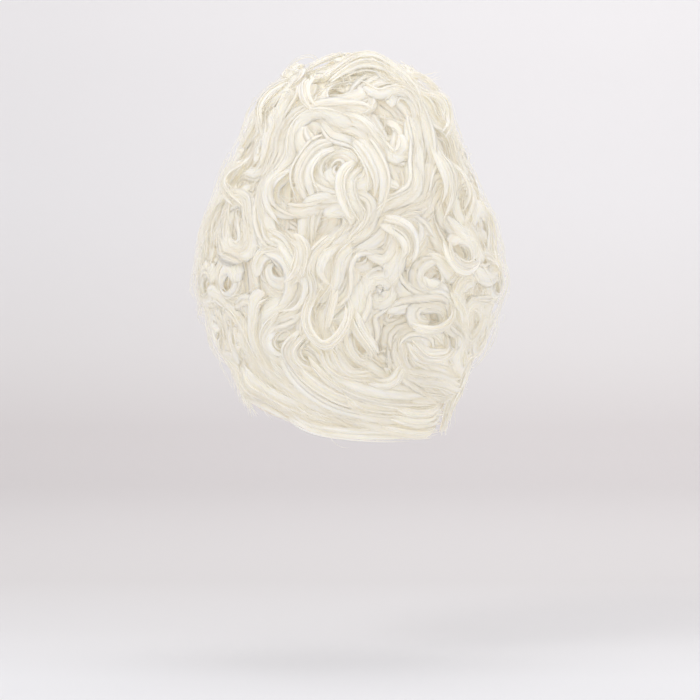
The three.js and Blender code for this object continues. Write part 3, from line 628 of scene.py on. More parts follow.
def flyaways(rng, eddies):
    az, height = scattered(rng, fly["spacing"], 9000)
    az, height, last = traced(az, height, eddies, fly["pull"])
    reach = np.minimum(last, rng.uniform(*fly["length"], len(last)) / flow["step"])
    middle = (reach / 2).astype(int)
    index = np.arange(len(reach))
    spots = wigPoint(az[index, middle], height[index, middle])
    owner = np.array([rowAt((a + 180) % 360 - 180, h, p) for a, h, p in zip(az[index, middle], height[index, middle], spots)])
    found = {}
    n = len(reach)
    spread = np.full(n, 0.006)
    for name in hairRows:
        which = np.repeat(np.flatnonzero((owner == name) & (reach > 4)), fly["each"])
        m = len(which)
        place = streamPlace(az, height, reach, which, spread, -rng.uniform(*fly["off"], n), rng.uniform(*fly["rise"], n))
        radius = rng.uniform(*fly["radius"], m)
        table = {
            "across": rng.normal(0, 1, m), "halfAcross": radius / 0.006, "halfOut": radius, "start": 0.0, "end": 1.0,
            "turn": 0.0, "wave": rng.uniform(0, fly["wave"], m) / 0.006, "bob": rng.uniform(0, fly["wave"], m) * 0.6,
            "waves": rng.uniform(0.4, 1.8, m), "phase": rng.uniform(0, 1, m), "lift": rng.uniform(-0.5, 1, m) * fly["lift"],
            "toneAndPaintedShading": rng.normal(0, 0.8, m), "seed": rng.uniform(0, 50, m), "splay": rng.normal(0, 0.8, m),
            "rings": 17, "sides": 3, "blunt": 12, "thinning": 0.6,
        }
        found[name] = [tubes(place, table, spread[which], reach[which] * flow["step"], False)] if m else []
    return found


# Lock ends swept past the right of the nape, and the soft locks low at the left

tipLocks = [  # from az and height, to az and height, bow, wide
    (14, 0.034, 68, 0.018, 0.004, 0.6),
    (12, 0.045, 74, 0.036, 0.006, 0.7),
    (22, 0.055, 69, 0.05, 0.006, 0.6),
    (16, 0.08, 76, 0.07, 0.008, 0.7),
    (16, 0.10, 71, 0.09, 0.008, 0.6),
    (20, 0.125, 79, 0.112, 0.01, 0.7),
    (24, 0.15, 75, 0.136, 0.008, 0.6),
    (-72, 0.175, -36, 0.065, 0.012, 0.7),
    (-74, 0.165, -28, 0.04, 0.010, 0.6),
    (-66, 0.185, -20, 0.05, 0.012, 0.8),
    (-78, 0.19, -50, 0.09, 0.01, 0.6),
    (-50, 0.2, -5, 0.08, 0.02, 0.9),
    (-30, 0.2, 20, 0.09, 0.03, 0.9),
    (-8, 0.19, 40, 0.11, 0.03, 0.8),
]


# Locks led through given points, as seen from behind across and up, from above across and ahead, and from
# the side ahead and up, all in metres

def fromBehind(x, z):
    height = np.clip(1 - (wig["crownRise"] - z) / wig["height"], 0.002, 0.985)
    half = eased(wigSections, height, 1) * wig["width"] / 2
    return np.degrees(np.arcsin(np.clip(x / half, -0.995, 0.995))), height


def fromAbove(x, y):
    low, high = np.full(x.shape, 0.6), np.full(x.shape, 0.9999)
    for _ in range(24):
        height = (low + high) / 2
        half = eased(wigSections, height, 1) * wig["width"] / 2
        depth = np.where(y < 0, eased(wigSections, height, 2) * wig["back"], eased(wigSections, height, 3) * wig["front"])
        outside = (x / half) ** 2 + (y / depth) ** 2 > 1
        high, low = np.where(outside, height, high), np.where(outside, low, height)
    return np.unwrap(np.degrees(np.arctan2(x / half, -y / depth)), period=360), height


def fromSide(y, z, side):
    height = np.clip(1 - (wig["crownRise"] - z) / wig["height"], 0.002, 0.985)
    depth = np.where(y < 0, eased(wigSections, height, 2) * wig["back"], eased(wigSections, height, 3) * wig["front"])
    return side * np.degrees(np.arccos(np.clip(-y / depth, -0.995, 0.995))), height


def curveThrough(points, steps=40):
    points = np.array(points, float)
    padded = np.vstack([2 * points[0] - points[1], points, 2 * points[-1] - points[-2]])
    t = np.linspace(0, len(points) - 1, steps)
    i = np.minimum(t.astype(int), len(points) - 2)
    f = (t - i)[:, None]
    a, b, c, d = [padded[i + k] for k in range(4)]
    return (2 * b + (c - a) * f + (2 * a - 5 * b + 4 * c - d) * f ** 2 + (3 * b - a - 3 * c + d) * f ** 3) / 2


seenLocks = [  # node, across and up from behind in millimetres, wide, deep at its ends, rise between them
    ("upper_back_curls", ((-10, 2), (-30, -12), (-40, -34), (-33, -58)), 1.05, 9, 11),
    ("upper_back_curls", ((-52, -18), (-66, -36), (-70, -54), (-62, -70)), 0.8, 6, 7),
    ("upper_back_curls", ((4, 10), (16, -12), (26, -40), (20, -68)), 0.8, 10, 11),
    ("upper_back_curls", ((10, -16), (-4, -36), (0, -60), (16, -80)), 0.9, 10, 10),
    ("upper_back_curls", ((75, 4), (79, -20), (86, -44), (80, -68)), 0.75, 5, 7),
    ("upper_back_curls", ((92, -12), (101, -31), (108, -49), (103, -70)), 0.7, 5, 8),
    ("upper_back_curls", ((-92, -5), (-104, -24), (-108, -42), (-98, -58)), 0.7, 5, 8),
    ("crown_curls", ((-30, 62), (-8, 75), (18, 77), (40, 70), (60, 54), (67, 28)), 0.7, 5, 7),
    ("crown_curls", ((-22, 56), (0, 68), (26, 67), (46, 58), (58, 38)), 0.6, 5, 6),
    ("crown_curls", ((-36, 66), (-39, 52), (-37, 38), (-28, 24)), 0.5, 4, 6),
    ("crown_curls", ((50, 74), (66, 66), (78, 54), (84, 68)), 0.35, 2, 6),
    ("crown_curls", ((-52, 68), (-70, 54), (-82, 36), (-84, 16)), 0.7, 4, 7),
    ("crown_curls", ((70, 52), (82, 36), (86, 18), (80, 2)), 0.7, 4, 8),
    ("middle_back_curls", ((-79, -79), (-58, -86), (-47, -104), (-36, -120), (-34, -132), (-43, -150), (-63, -153)), 0.7, 5, 7),
    ("middle_back_curls", ((-54, -82), (-40, -96), (-44, -118), (-60, -130)), 0.7, 4, 7),
    ("middle_back_curls", ((85, -86), (86, -104), (98, -113), (111, -104), (117, -88)), 0.6, 3, 7),
    ("middle_back_curls", ((-10, -86), (-26, -100), (-30, -118), (-18, -134)), 0.8, 6, 8),
    ("middle_back_curls", ((28, -70), (44, -80), (52, -98), (44, -116)), 0.8, 6, 8),
    ("middle_back_curls", ((88, -130), (96, -147), (100, -160)), 0.5, 2, 6),
    ("lower_back_curls", ((-27, -128), (-35, -143), (-37, -158), (-27, -174), (-16, -174), (-3, -158), (-1, -143), (-5, -136)),
     0.4, 1, 6),
    ("lower_back_curls", ((-12, -130), (-16, -147), (-20, -166)), 0.45, 4, 6),
    ("lower_back_curls", ((1, -147), (7, -162), (18, -177), (22, -188)), 0.6, 4, 6),
    ("lower_back_curls", ((-16, -177), (-8, -193), (3, -202), (20, -204)), 0.6, 5, 6),
    ("lower_back_curls", ((-25, -181), (-18, -196), (1, -205), (26, -208)), 0.5, 5, 5),
    ("lower_back_curls", ((-1, -162), (-1, -177), (9, -189), (20, -191)), 0.4, 5, 5),
    ("lower_back_curls", ((52, -160), (69, -162), (85, -153), (90, -141)), 0.45, 2, 6),
    ("lower_back_curls", ((-60, -150), (-72, -168), (-64, -186), (-46, -190)), 0.8, 5, 6),
    ("lower_back_curls", ((50, -172), (64, -186), (82, -186), (92, -172)), 0.8, 5, 6),
    ("lower_back_curls", ((-40, -166), (-52, -180), (-44, -198), (-24, -206)), 0.8, 5, 6),
    ("nape_hair", ((-60, -178), (-46, -204), (-12, -226), (30, -236), (78, -240)), 1.0, 3, 4),
    ("nape_hair", ((-36, -186), (-14, -208), (20, -222), (60, -226), (80, -226)), 0.8, 3, 4),
    ("nape_hair", ((-8, -209), (1, -225), (13, -234), (32, -236)), 0.4, 3, 5),
    ("nape_hair", ((47, -196), (39, -206), (28, -210), (13, -208)), 0.5, 4, 6),
    ("nape_hair", ((-56, -236), (-38, -246), (-10, -252), (30, -255), (70, -255)), 0.5, 2, 2),
    ("nape_hair", ((-104, -200), (-96, -213), (-82, -226), (-58, -236), (-32, -243)), 0.7, 4, 2),
    ("nape_hair", ((-98, -194), (-82, -213), (-56, -229), (-22, -239)), 0.9, 4, 3),
    ("nape_hair", ((39, -230), (56, -235), (72, -232), (84, -225)), 0.38, 0, 4),
    ("nape_hair", ((34, -238), (52, -243), (68, -243), (80, -237)), 0.38, 0, 4),
    ("nape_hair", ((24, -247), (46, -252), (64, -253), (74, -248)), 0.38, 0, 4),
]
overLocks = [  # node, across and ahead from above in millimetres, wide, deep, rise
    ("crown_curls", ((-30, -44), (-16, -20), (-20, 6), (-8, 30)), 1.6, 9, 1),
    ("crown_curls", ((-4, -46), (8, -22), (0, 4), (12, 30)), 1.6, 9, 1),
    ("crown_curls", ((26, -40), (34, -16), (24, 8), (34, 30)), 1.6, 9, 1),
    ("crown_curls", ((-44, -30), (-30, -38), (-14, -30), (-12, -14), (-24, -6), (-36, -12)), 0.8, 5, 7),
    ("crown_curls", ((30, -44), (14, -36), (8, -20), (18, -6), (34, -8), (40, -20)), 0.8, 5, 7),
    ("crown_curls", ((-40, 8), (-26, -2), (-10, 2), (-6, 18), (-18, 28), (-32, 24)), 0.8, 5, 7),
    ("crown_curls", ((44, 4), (30, -2), (16, 6), (14, 22), (26, 32), (40, 28)), 0.8, 5, 7),
    ("crown_curls", ((-8, -10), (6, -4), (10, 12), (-2, 24), (-6, 40), (6, 50)), 0.8, 5, 7),
    ("crown_curls", ((-30, 36), (-16, 34), (-4, 44), (-10, 60), (-26, 64)), 0.8, 5, 7),
    ("crown_curls", ((10, 34), (26, 40), (30, 56), (16, 66), (2, 60)), 0.8, 5, 7),
    ("crown_curls", ((-2, -48), (-10, -34), (0, -22), (14, -14)), 0.9, 5, 6),
    ("crown_curls", ((-52, -14), (-56, 4), (-48, 20), (-52, 36)), 0.8, 5, 6),
    ("crown_curls", ((52, -22), (58, -4), (50, 14), (54, 32)), 0.8, 5, 6),
]
edgeLocks = [  # node, ahead and up from the side in millimetres, wide, deep, rise, on each side
    ("front_curls", ((100, 16), (93, 0), (98, -18), (86, -34)), 1.0, 6, 5),
    ("front_curls", ((84, 26), (90, 8), (80, -10), (82, -30)), 1.0, 6, 5),
    ("side_curls", ((80, -40), (68, -56), (72, -76), (60, -92)), 1.1, 6, 5),
    ("side_curls", ((64, -72), (66, -92), (54, -108), (58, -128)), 1.1, 5, 5),
    ("side_curls", ((58, -104), (50, -124), (54, -142), (42, -160)), 1.1, 3, 4),
    ("side_curls", ((48, -138), (44, -154), (34, -168), (36, -182)), 1.0, 3, 4),
]
napeEnds = [  # side, ahead and up in millimetres, wide, deep, rise
    (1, ((26, -170), (25, -188), (17, -205), (8, -222)), 1.2, 6, 3),
    (1, ((12, -172), (11, -190), (4, -209), (-3, -227), (-8, -245)), 1.3, 9, 3),
    (1, ((-2, -174), (-4, -192), (-14, -212), (-20, -232), (-25, -252)), 1.3, 9, 3),
    (1, ((-16, -176), (-20, -194), (-31, -213), (-37, -234), (-41, -254)), 1.3, 9, 3),
    (1, ((18, -190), (9, -202), (6, -219), (-2, -232)), 0.8, 6, 4),
    (1, ((-10, -196), (-8, -214), (-17, -231), (-15, -248)), 0.8, 6, 4),
    (1, ((9, -212), (2, -227), (-8, -241), (-12, -255)), 1.0, 5, 2),
    (1, ((-10, -220), (-16, -235), (-27, -248), (-32, -258)), 1.0, 5, 2),
    (-1, ((24, -172), (20, -189), (15, -205), (13, -223)), 1.1, 6, 3),
    (-1, ((12, -180), (8, -196), (-1, -213), (-3, -230)), 1.2, 8, 3),
    (-1, ((0, -184), (-8, -202), (-19, -218), (-23, -233)), 1.2, 8, 3),
    (-1, ((-14, -188), (-26, -206), (-40, -221), (-47, -237)), 1.1, 7, 3),
    (-1, ((16, -202), (9, -213), (5, -223), (6, -233)), 0.9, 5, 2),
    (-1, ((-4, -206), (-13, -217), (-22, -226), (-34, -235)), 0.9, 5, 2),
    (-1, ((-18, -180), (-32, -198), (-48, -212), (-64, -226)), 1.1, 8, 3),
]
wisps = [  # node, across, behind and up in millimetres, threads, spread
    ("crown_curls", ((-63, -24, 58), (-58, -28, 74), (-46, -28, 85), (-33, -24, 86), (-29, -20, 74)), 7, 1.4),
    ("crown_curls", ((66, -26, 66), (76, -28, 68), (84, -26, 72)), 6, 2.2),
    ("crown_curls", ((-84, -30, 30), (-92, -30, 34), (-96, -28, 28)), 5, 1.5),
    ("upper_back_curls", ((104, -40, -30), (112, -44, -34), (118, -42, -46), (116, -40, -58)), 6, 1.4),
    ("upper_back_curls", ((-106, -40, -10), (-114, -44, -20), (-118, -42, -34)), 6, 1.6),
    ("right_side_curls", ((118, -30, -58), (127, -34, -62), (129, -30, -72)), 5, 1.4),
    ("left_side_curls", ((-126, -30, -120), (-134, -34, -128), (-134, -30, -142)), 5, 1.6),
]
wispHair = {"radius": 0.00026, "rings": 19, "wave": 0.8}


def ledLock(az, height, wide, deep, rise, lifted=0.0):
    track = wigPoint(az, height)
    length = np.sum(np.linalg.norm(np.diff(track, axis=0), axis=1))
    halfWide = wide * lock["width"] / 2 * curlEnds["broader"]
    reach = np.array([len(az) - 1])
    which = np.zeros(1, int)
    place = streamPlace(az[None], height[None], reach, which, np.array([halfWide]), np.array([deep]) / 1000,
                        np.array([rise]) / 1000, lifted)
    return place, length, halfWide


def ledLocks(name):
    found = []
    for node, points, wide, deep, rise in seenLocks:
        if node == name:
            x, z = curveThrough(points).T / 1000
            found.append(ledLock(*fromBehind(x, z), wide, deep, rise))
    for node, points, wide, deep, rise in overLocks:
        if node == name:
            x, y = curveThrough(points).T / 1000
            found.append(ledLock(*fromAbove(x, y), wide, deep, rise))
    for node, points, wide, deep, rise in edgeLocks:
        for side, sideNode in ((-1, "left_side_curls"), (1, "right_side_curls")):
            if (sideNode if node == "side_curls" else node) == name:
                y, z = curveThrough(points).T / 1000
                found.append(ledLock(*fromSide(y, z, side), wide, deep, rise))
    if name == "nape_hair":
        for side, points, wide, deep, rise in napeEnds:
            y, z = curveThrough(points).T / 1000
            found.append(ledLock(*fromSide(y, z, side), wide, deep, rise, 0.85))
    return found


def wispsOf(name, rng):
    found = []
    for node, points, threads, spread in wisps:
        if node != name:
            continue
        track = curveThrough(points) / 1000
        ahead = np.gradient(track, axis=0)
        side = unit(np.cross(ahead, track - np.array([0, 0, -0.09])))
        off = unit(np.cross(side, ahead))

        def place(s, across, out, turn, grow, track=track, side=side, off=off):
            f = np.clip(s, 0, 1) * (len(track) - 1)
            i = np.minimum(f.astype(int), len(track) - 2)
            t = (f - i)[..., None]
            centre, flat, face = [v[i] * (1 - t) + v[i + 1] * t for v in (track, side, off)]
            return centre + flat * across[..., None] * 0.001 + face * out[..., None]

        table = {
            "across": rng.normal(0, spread, threads), "halfAcross": wispHair["radius"] * 1000,
            "halfOut": wispHair["radius"], "out": rng.normal(0, spread / 1000, threads), "start": 0.0,
            "end": rng.uniform(0.8, 1.0, threads), "wave": wispHair["wave"], "waves": rng.uniform(0.5, 1.5, threads),
            "phase": rng.uniform(0, 1, threads), "splay": rng.normal(0, 0.8, threads), "seed": rng.uniform(0, 50, threads),
            "toneAndPaintedShading": rng.normal(0, 0.8, threads), "rings": wispHair["rings"], "sides": 3, "blunt": 12, "thinning": 0.6,
        }
        found.append(tubes(place, table, 0.001, 0.06, False))
    return found


def dropCrumbs(mesh):  # only the largest part of the padding stays
    bm = bmesh.new()
    bm.from_mesh(mesh)
    bm.verts.ensure_lookup_table()
    seen, parts = set(), []
    for start in bm.verts:
        if start.index in seen:
            continue
        seen.add(start.index)
        part = [start]
        for vert in part:
            for edge in vert.link_edges:
                other = edge.other_vert(vert)
                if other.index not in seen:
                    seen.add(other.index)
                    part.append(other)
        parts.append(part)
    parts.sort(key=len)
    print("parts of the padding:", [len(part) for part in parts])
    bmesh.ops.delete(bm, geom=[vert for part in parts[:-1] for vert in part], context="VERTS")
    bm.to_mesh(mesh)
    bm.free()


def clearOfHead(points, clear, lowest):  # nothing reaches through the padding into the cap
    drop = np.clip(-points[:, 2] / head["drop"], 0.05, headSections[-1, 0])
    half = eased(headSections, drop, 1) * head["width"] / 2 + clear
    deep = np.where(points[:, 1] < 0, eased(headSections, drop, 2), eased(headSections, drop, 3))
    out = np.hypot(points[:, 0] / half, points[:, 1] / (deep * head["length"] / 2 + clear))
    within = (points[:, 2] < -0.02) & (points[:, 2] > lowest)
    push = np.where(within, np.maximum(1, 1 / np.maximum(out, 0.3)), 1)
    return points * np.stack([push, push, np.ones(len(points))], -1)


def baseOf(name):
    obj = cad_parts[name].copy()
    obj.data = obj.data.copy()
    obj.parent = None
    for key in list(obj.keys()):
        del obj[key]
    bpy.context.scene.collection.objects.link(obj)
    bpy.ops.object.select_all(action="DESELECT")
    bpy.context.view_layer.objects.active = obj
    obj.select_set(True)
    bpy.ops.object.mode_set(mode="EDIT")
    bpy.ops.mesh.select_all(action="SELECT")
    bpy.ops.mesh.remove_doubles(threshold=1e-5)
    bpy.ops.object.mode_set(mode="OBJECT")
    remesh = obj.modifiers.new("remesh", "REMESH")
    remesh.mode = "VOXEL"
    remesh.voxel_size = 0.006
    remesh.use_smooth_shade = True
    smooth = obj.modifiers.new("smooth", "SMOOTH")
    smooth.factor = 0.6
    smooth.iterations = 4
    sunk = obj.modifiers.new("sunk", "DISPLACE")
    sunk.mid_level = 0
    sunk.strength = -0.0025
    bpy.ops.object.modifier_apply(modifier="remesh")
    dropCrumbs(obj.data)
    pressOutside(obj.data, mounds)
    bpy.ops.object.modifier_apply(modifier="smooth")
    bpy.ops.object.modifier_apply(modifier="sunk")
    points = np.empty(len(obj.data.vertices) * 3)
    obj.data.vertices.foreach_get("co", points)
    points = clearOfHead(points.reshape(-1, 3), 0.004, -0.2)
    obj.data.vertices.foreach_set("co", points.ravel())
    obj.data.update()
    obj.data.materials.clear()
    return obj


def pressOutside(mesh, table):  # the outer side of the padded base follows the mounds, its inside stays
    points, normals = np.empty(len(mesh.vertices) * 3), np.empty(len(mesh.vertices) * 3)
    mesh.vertices.foreach_get("co", points)
    mesh.vertices.foreach_get("normal", normals)
    points, normals = points.reshape(-1, 3), normals.reshape(-1, 3)
    outwards = np.sum(unit(points - np.array(mound["middle"])) * normals, axis=1)
    share = smoothstep(0.3, 0.8, outwards)[:, None]
    moved = points + (onMounds(points, table) - points) * share
    mesh.vertices.foreach_set("co", moved.ravel())
    mesh.update()


rng = np.random.default_rng(flow["seed"])
eddies, smallCurls = eddyTable(rng)
flowing = streams(rng, eddies)
loose = flyaways(rng, eddies)
print("flow traced round", len(eddies), "swirls")
mounds = moundTable()
rowPieces = {}
triangles = 0
for name in hairRows:
    parts = flowing[name] + loose[name]
    for curl, kind in [(c, outerLock) for c in curlsOf(name)] + [(c, innerLock) for c in smallCurls[name]]:
        length = abs(math.radians(curl["sweep"])) * curl["size"] * lock["radius"]
        place = lambda s, a, o, turn, grow, curl=curl: curlPlace(curl, s, a, o, turn, grow)
        tail, inner = endsOf(curl)
        parts += hairOn(place, rng, length, curl["wide"] * lock["width"] / 2, kind, curl["sweep"] < 0, -tail, 1 + inner)
    if name == "nape_hair":
        for swept, kind in [(row, outerLock) for row in sweptLocks] + [(row, ledHair) for row in tipLocks]:
            place = lambda s, a, o, turn, grow, swept=swept: sweptPlace(swept, s, a, o, turn, grow)
            parts += hairOn(place, rng, 0.2, swept[5] * lock["width"] / 2, kind, False)
    for place, length, halfWide in ledLocks(name):
        parts += hairOn(place, rng, length, halfWide, ledHair, False)
    parts += wispsOf(name, rng)
    for part in parts:
        part["points"] = clearOfHead(onMounds(part["points"], mounds), head["clear"], -1)
    base = baseOf(name)
    rowPieces[name] = (base, meshOf(name + "_hair", parts))
    base.data.calc_loop_triangles()
    count = sum(2 * len(p["quads"]) + len(p["caps"]) * (p["caps"].shape[1] - 2) for p in parts)
    count += len(base.data.loop_triangles)
    triangles += count
    print(name, "made:", count, "triangles, of them", len(base.data.loop_triangles), "in its base")
print("hair triangles in all:", triangles)


# The fitted cap: a thin shell over the head, its edge cut round the face and ears and bound with a ribbon

capLine = np.array([(-1.5, 0.69), (-0.85, 0.68), (-0.4, 0.6), (-0.05, 0.47), (0.18, 0.37), (0.36, 0.44), (0.48, 0.43),
                    (0.68, 0.25), (0.96, 0.145), (1.5, 0.09)])  # ahead, drop
capShell = {"wall": 0.002, "around": 120, "down": 40, "binding": 0.0006}


def headPoint(az, drop, offset):
    turn = np.radians(az)
    deep = np.where(np.cos(turn) > 0, eased(headSections, drop, 2), eased(headSections, drop, 3)) * head["length"] / 2
    half = eased(headSections, drop, 1) * head["width"] / 2
    grown = np.where(drop > 0, offset, 0)
    lift = offset * (1 - smoothstep(0, 0.3, drop))
    x, y, z = (half + grown) * np.sin(turn), -(deep + grown) * np.cos(turn), lift - drop * head["drop"]
    return np.stack(np.broadcast_arrays(x, y, z), -1)


def dressedCap():
    az = np.arange(capShell["around"]) / capShell["around"] * 360
    tries = np.linspace(0.05, 0.75, 400)
    spots = headPoint(az[:, None], tries[None], 0.0)
    below = tries[None] > np.interp(spots[..., 1] / (head["length"] / 2), capLine[:, 0], capLine[:, 1])
    edge = tries[np.argmax(below, axis=1)]
    for _ in range(3):
        edge = edge / 2 + (np.roll(edge, 1) + np.roll(edge, -1)) / 4
    share = np.linspace(0.004, 1, capShell["down"])
    drop = edge[:, None] * (1 - np.cos(share * math.pi / 2) * (1 - share) ** 0.3)[None]
    n, m = drop.shape
    rim = capShell["binding"] * smoothstep(0.93, 0.95, share)
    outer = headPoint(az[:, None], drop, capShell["wall"] + rim[None])
    inner = headPoint(az[:, None], drop, 0.0)
    points = np.concatenate([outer.reshape(-1, 3), inner.reshape(-1, 3)])
    i = np.arange(n)[:, None] * m
    k = (np.arange(n)[:, None] + 1) % n * m
    j = np.arange(m - 1)[None]
    quads = np.stack([i + j, i + j + 1, k + j + 1, k + j], -1).reshape(-1, 4)
    below = quads[:, ::-1] + n * m
    last = np.arange(n) * m + m - 1
    after = np.roll(last, -1)
    hem = np.stack([last, last + n * m, after + n * m, after], -1)
    first = np.arange(n) * m
    mesh = bpy.data.meshes.new("cap_dressed")
    faces = [list(q) for q in np.concatenate([quads, below, hem])] + [list(first), list(first[::-1] + n * m)]
    mesh.from_pydata([list(v) for v in points], [], [[int(v) for v in f] for f in faces])
    uv = np.stack([np.repeat(az / 360, m), np.tile(share, n)], -1)
    uv = np.concatenate([uv, uv])
    loops = np.empty(len(mesh.loops), int)
    mesh.loops.foreach_get("vertex_index", loops)
    mesh.uv_layers.new(name="capUv").data.foreach_set("uv", uv[loops].ravel())
    mesh.polygons.foreach_set("use_smooth", np.ones(len(mesh.polygons), bool))
    obj = bpy.data.objects.new("cap_dressed", mesh)
    bpy.context.scene.collection.objects.link(obj)
    return obj


capObject = dressedCap()
print("cap made:", len(capObject.data.polygons), "faces")


# Materials

def node(tree, kind, **values):
    made = tree.nodes.new(kind)
    for key, value in values.items():
        if key in made.inputs:
            made.inputs[key].default_value = value
        else:
            setattr(made, key, value)
    return made


def streakGroup():
    group = bpy.data.node_groups.new("strandStreaks", "ShaderNodeTree")
    group.interface.new_socket(name="Vector", in_out="INPUT", socket_type="NodeSocketVector")
    group.interface.new_socket(name="Shade", in_out="OUTPUT", socket_type="NodeSocketFloat")
    group.interface.new_socket(name="Height", in_out="OUTPUT", socket_type="NodeSocketFloat")
    enter, leave = group.nodes.new("NodeGroupInput"), group.nodes.new("NodeGroupOutput")
    broad = node(group, "ShaderNodeTexNoise", Scale=1.0, Detail=2.0, Roughness=0.5)
    finer = node(group, "ShaderNodeTexNoise", Scale=3.6, Detail=3.0, Roughness=0.6)
    spread = node(group, "ShaderNodeMapRange")
    for key, value in {"From Min": 0.3, "From Max": 0.7}.items():
        spread.inputs[key].default_value = value
    both = node(group, "ShaderNodeMath", operation="MULTIPLY_ADD")
    both.inputs[1].default_value = 0.35
    link = group.links.new
    link(enter.outputs["Vector"], broad.inputs["Vector"])
    link(enter.outputs["Vector"], finer.inputs["Vector"])
    link(broad.outputs["Fac"], spread.inputs["Value"])
    link(finer.outputs["Fac"], both.inputs[0])
    link(broad.outputs["Fac"], both.inputs[2])
    link(spread.outputs["Result"], leave.inputs["Shade"])
    link(both.outputs["Value"], leave.inputs["Height"])
    return group


streaks = streakGroup()


def hairMaterial(name, colour, shadeColour, onUv, scale, paintedGlow):
    material = bpy.data.materials.new(name)
    material.use_nodes = True
    tree = material.node_tree
    link = tree.links.new
    shader = tree.nodes["Principled BSDF"]
    shader.inputs["Roughness"].default_value = 0.45
    shader.inputs["Specular IOR Level"].default_value = 0.35
    shader.inputs["Sheen Weight"].default_value = 0.2
    shader.inputs["Sheen Roughness"].default_value = 0.4
    shader.inputs["Subsurface Weight"].default_value = 0.65
    shader.inputs["Subsurface Radius"].default_value = (0.009, 0.0072, 0.0048)
    shader.inputs["Subsurface Scale"].default_value = 1.0
    # Emission lifts the shade in the hair: a painted glow standing in for light scattered through the pale strands.
    shader.inputs["Emission Color"].default_value = (0.97, 0.91, 0.77, 1)
    shader.inputs["Emission Strength"].default_value = paintedGlow
    mapping = node(tree, "ShaderNodeMapping")
    mapping.inputs["Scale"].default_value = scale
    if onUv:
        link(node(tree, "ShaderNodeUVMap", uv_map="strandUv").outputs["UV"], mapping.inputs["Vector"])
    else:
        link(node(tree, "ShaderNodeTexCoord").outputs["Object"], mapping.inputs["Vector"])
    strands = node(tree, "ShaderNodeGroup", node_tree=streaks)
    link(mapping.outputs["Vector"], strands.inputs["Vector"])
    tint = node(tree, "ShaderNodeMix", data_type="RGBA")
    tint.inputs["A"].default_value = shadeColour + (1,)
    tint.inputs["B"].default_value = colour + (1,)
    # The tone attribute moves the colour towards the darker shade colour: it carries random strand tone, with painted
    # shade in the deep layers and painted light on the curls.
    toned = node(tree, "ShaderNodeMath", operation="MULTIPLY_ADD", use_clamp=True)
    toned.inputs[1].default_value = 0.24
    link(node(tree, "ShaderNodeAttribute", attribute_name="toneAndPaintedShading").outputs["Fac"], toned.inputs[0])
    link(strands.outputs["Shade"], toned.inputs[2])
    link(toned.outputs["Value"], tint.inputs["Factor"])
    link(tint.outputs["Result"], shader.inputs["Base Color"])
    bump = node(tree, "ShaderNodeBump", Strength=0.8, Distance=0.0012)
    link(strands.outputs["Height"], bump.inputs["Height"])
    link(bump.outputs["Normal"], shader.inputs["Normal"])
    return material


def netMaterial():
    material = bpy.data.materials.new("cap_net")
    material.use_nodes = True
    tree = material.node_tree
    link = tree.links.new
    shader = tree.nodes["Principled BSDF"]
    shader.inputs["Roughness"].default_value = 0.85
    shader.inputs["Specular IOR Level"].default_value = 0.2
    coords = node(tree, "ShaderNodeTexCoord").outputs["Object"]
    heights = []
    for turnBy in (45, -45):
        mapping = node(tree, "ShaderNodeMapping")
        mapping.inputs["Rotation"].default_value = (math.radians(turnBy), math.radians(turnBy), 0)
        wave = node(tree, "ShaderNodeTexWave", Scale=130.0, Distortion=0.3, Detail=0.0)
        link(coords, mapping.inputs["Vector"])
        link(mapping.outputs["Vector"], wave.inputs["Vector"])
        heights.append(wave.outputs["Fac"])
    net = node(tree, "ShaderNodeMath", operation="MAXIMUM")
    link(heights[0], net.inputs[0])
    link(heights[1], net.inputs[1])
    split = node(tree, "ShaderNodeSeparateXYZ")
    link(node(tree, "ShaderNodeUVMap", uv_map="capUv").outputs["UV"], split.inputs["Vector"])
    ribbon = node(tree, "ShaderNodeMapRange")
    ribbon.inputs["From Min"].default_value = 0.935
    ribbon.inputs["From Max"].default_value = 0.945
    link(split.outputs["Y"], ribbon.inputs["Value"])
    tint = node(tree, "ShaderNodeMix", data_type="RGBA")
    tint.inputs["A"].default_value = (0.62, 0.57, 0.48, 1)
    tint.inputs["B"].default_value = (0.86, 0.82, 0.73, 1)
    brighter = node(tree, "ShaderNodeMath", operation="MAXIMUM")
    link(net.outputs["Value"], brighter.inputs[0])
    link(ribbon.outputs["Result"], brighter.inputs[1])
    link(brighter.outputs["Value"], tint.inputs["Factor"])
    link(tint.outputs["Result"], shader.inputs["Base Color"])
    bump = node(tree, "ShaderNodeBump", Strength=0.7, Distance=0.0006)
    link(brighter.outputs["Value"], bump.inputs["Height"])
    link(bump.outputs["Normal"], shader.inputs["Normal"])
    return material


capObject.data.materials.append(netMaterial())
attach(capObject, "root")
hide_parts("cap")

# hairShade is the darker end of the hair colour, reached by random streaks and by the painted shade of the deep layers
hairColour = (0.955, 0.93, 0.84)
hairShade = (0.87, 0.81, 0.70)
hair = hairMaterial("powdered_hair", hairColour, hairShade, True, (5, 0.25, 1), 0.16)
# The padded base is coloured darker and warmer than the hair: painted shade where it shows in the hollows, with a
# weaker painted glow.
under = hairMaterial("under_hair_painted_shade", (0.93, 0.88, 0.77), (0.79, 0.71, 0.57), False, (260, 260, 30), 0.08)

for name, (base, locks) in rowPieces.items():
    base.data.materials.append(under)
    locks.data.materials.append(hair)
    bpy.ops.object.select_all(action="DESELECT")
    base.select_set(True)
    locks.select_set(True)
    bpy.context.view_layer.objects.active = locks
    bpy.ops.object.join()
    locks.name = name + "_dressed"
    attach(locks, "root")
    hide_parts(name)
print("hair finished")


# Floor, backdrop, light and camera

studio = {"floor": -0.450, "wall": 3.4, "distance": 2.0, "view": 0.630, "aimHeight": -0.180}
sensor = 0.036

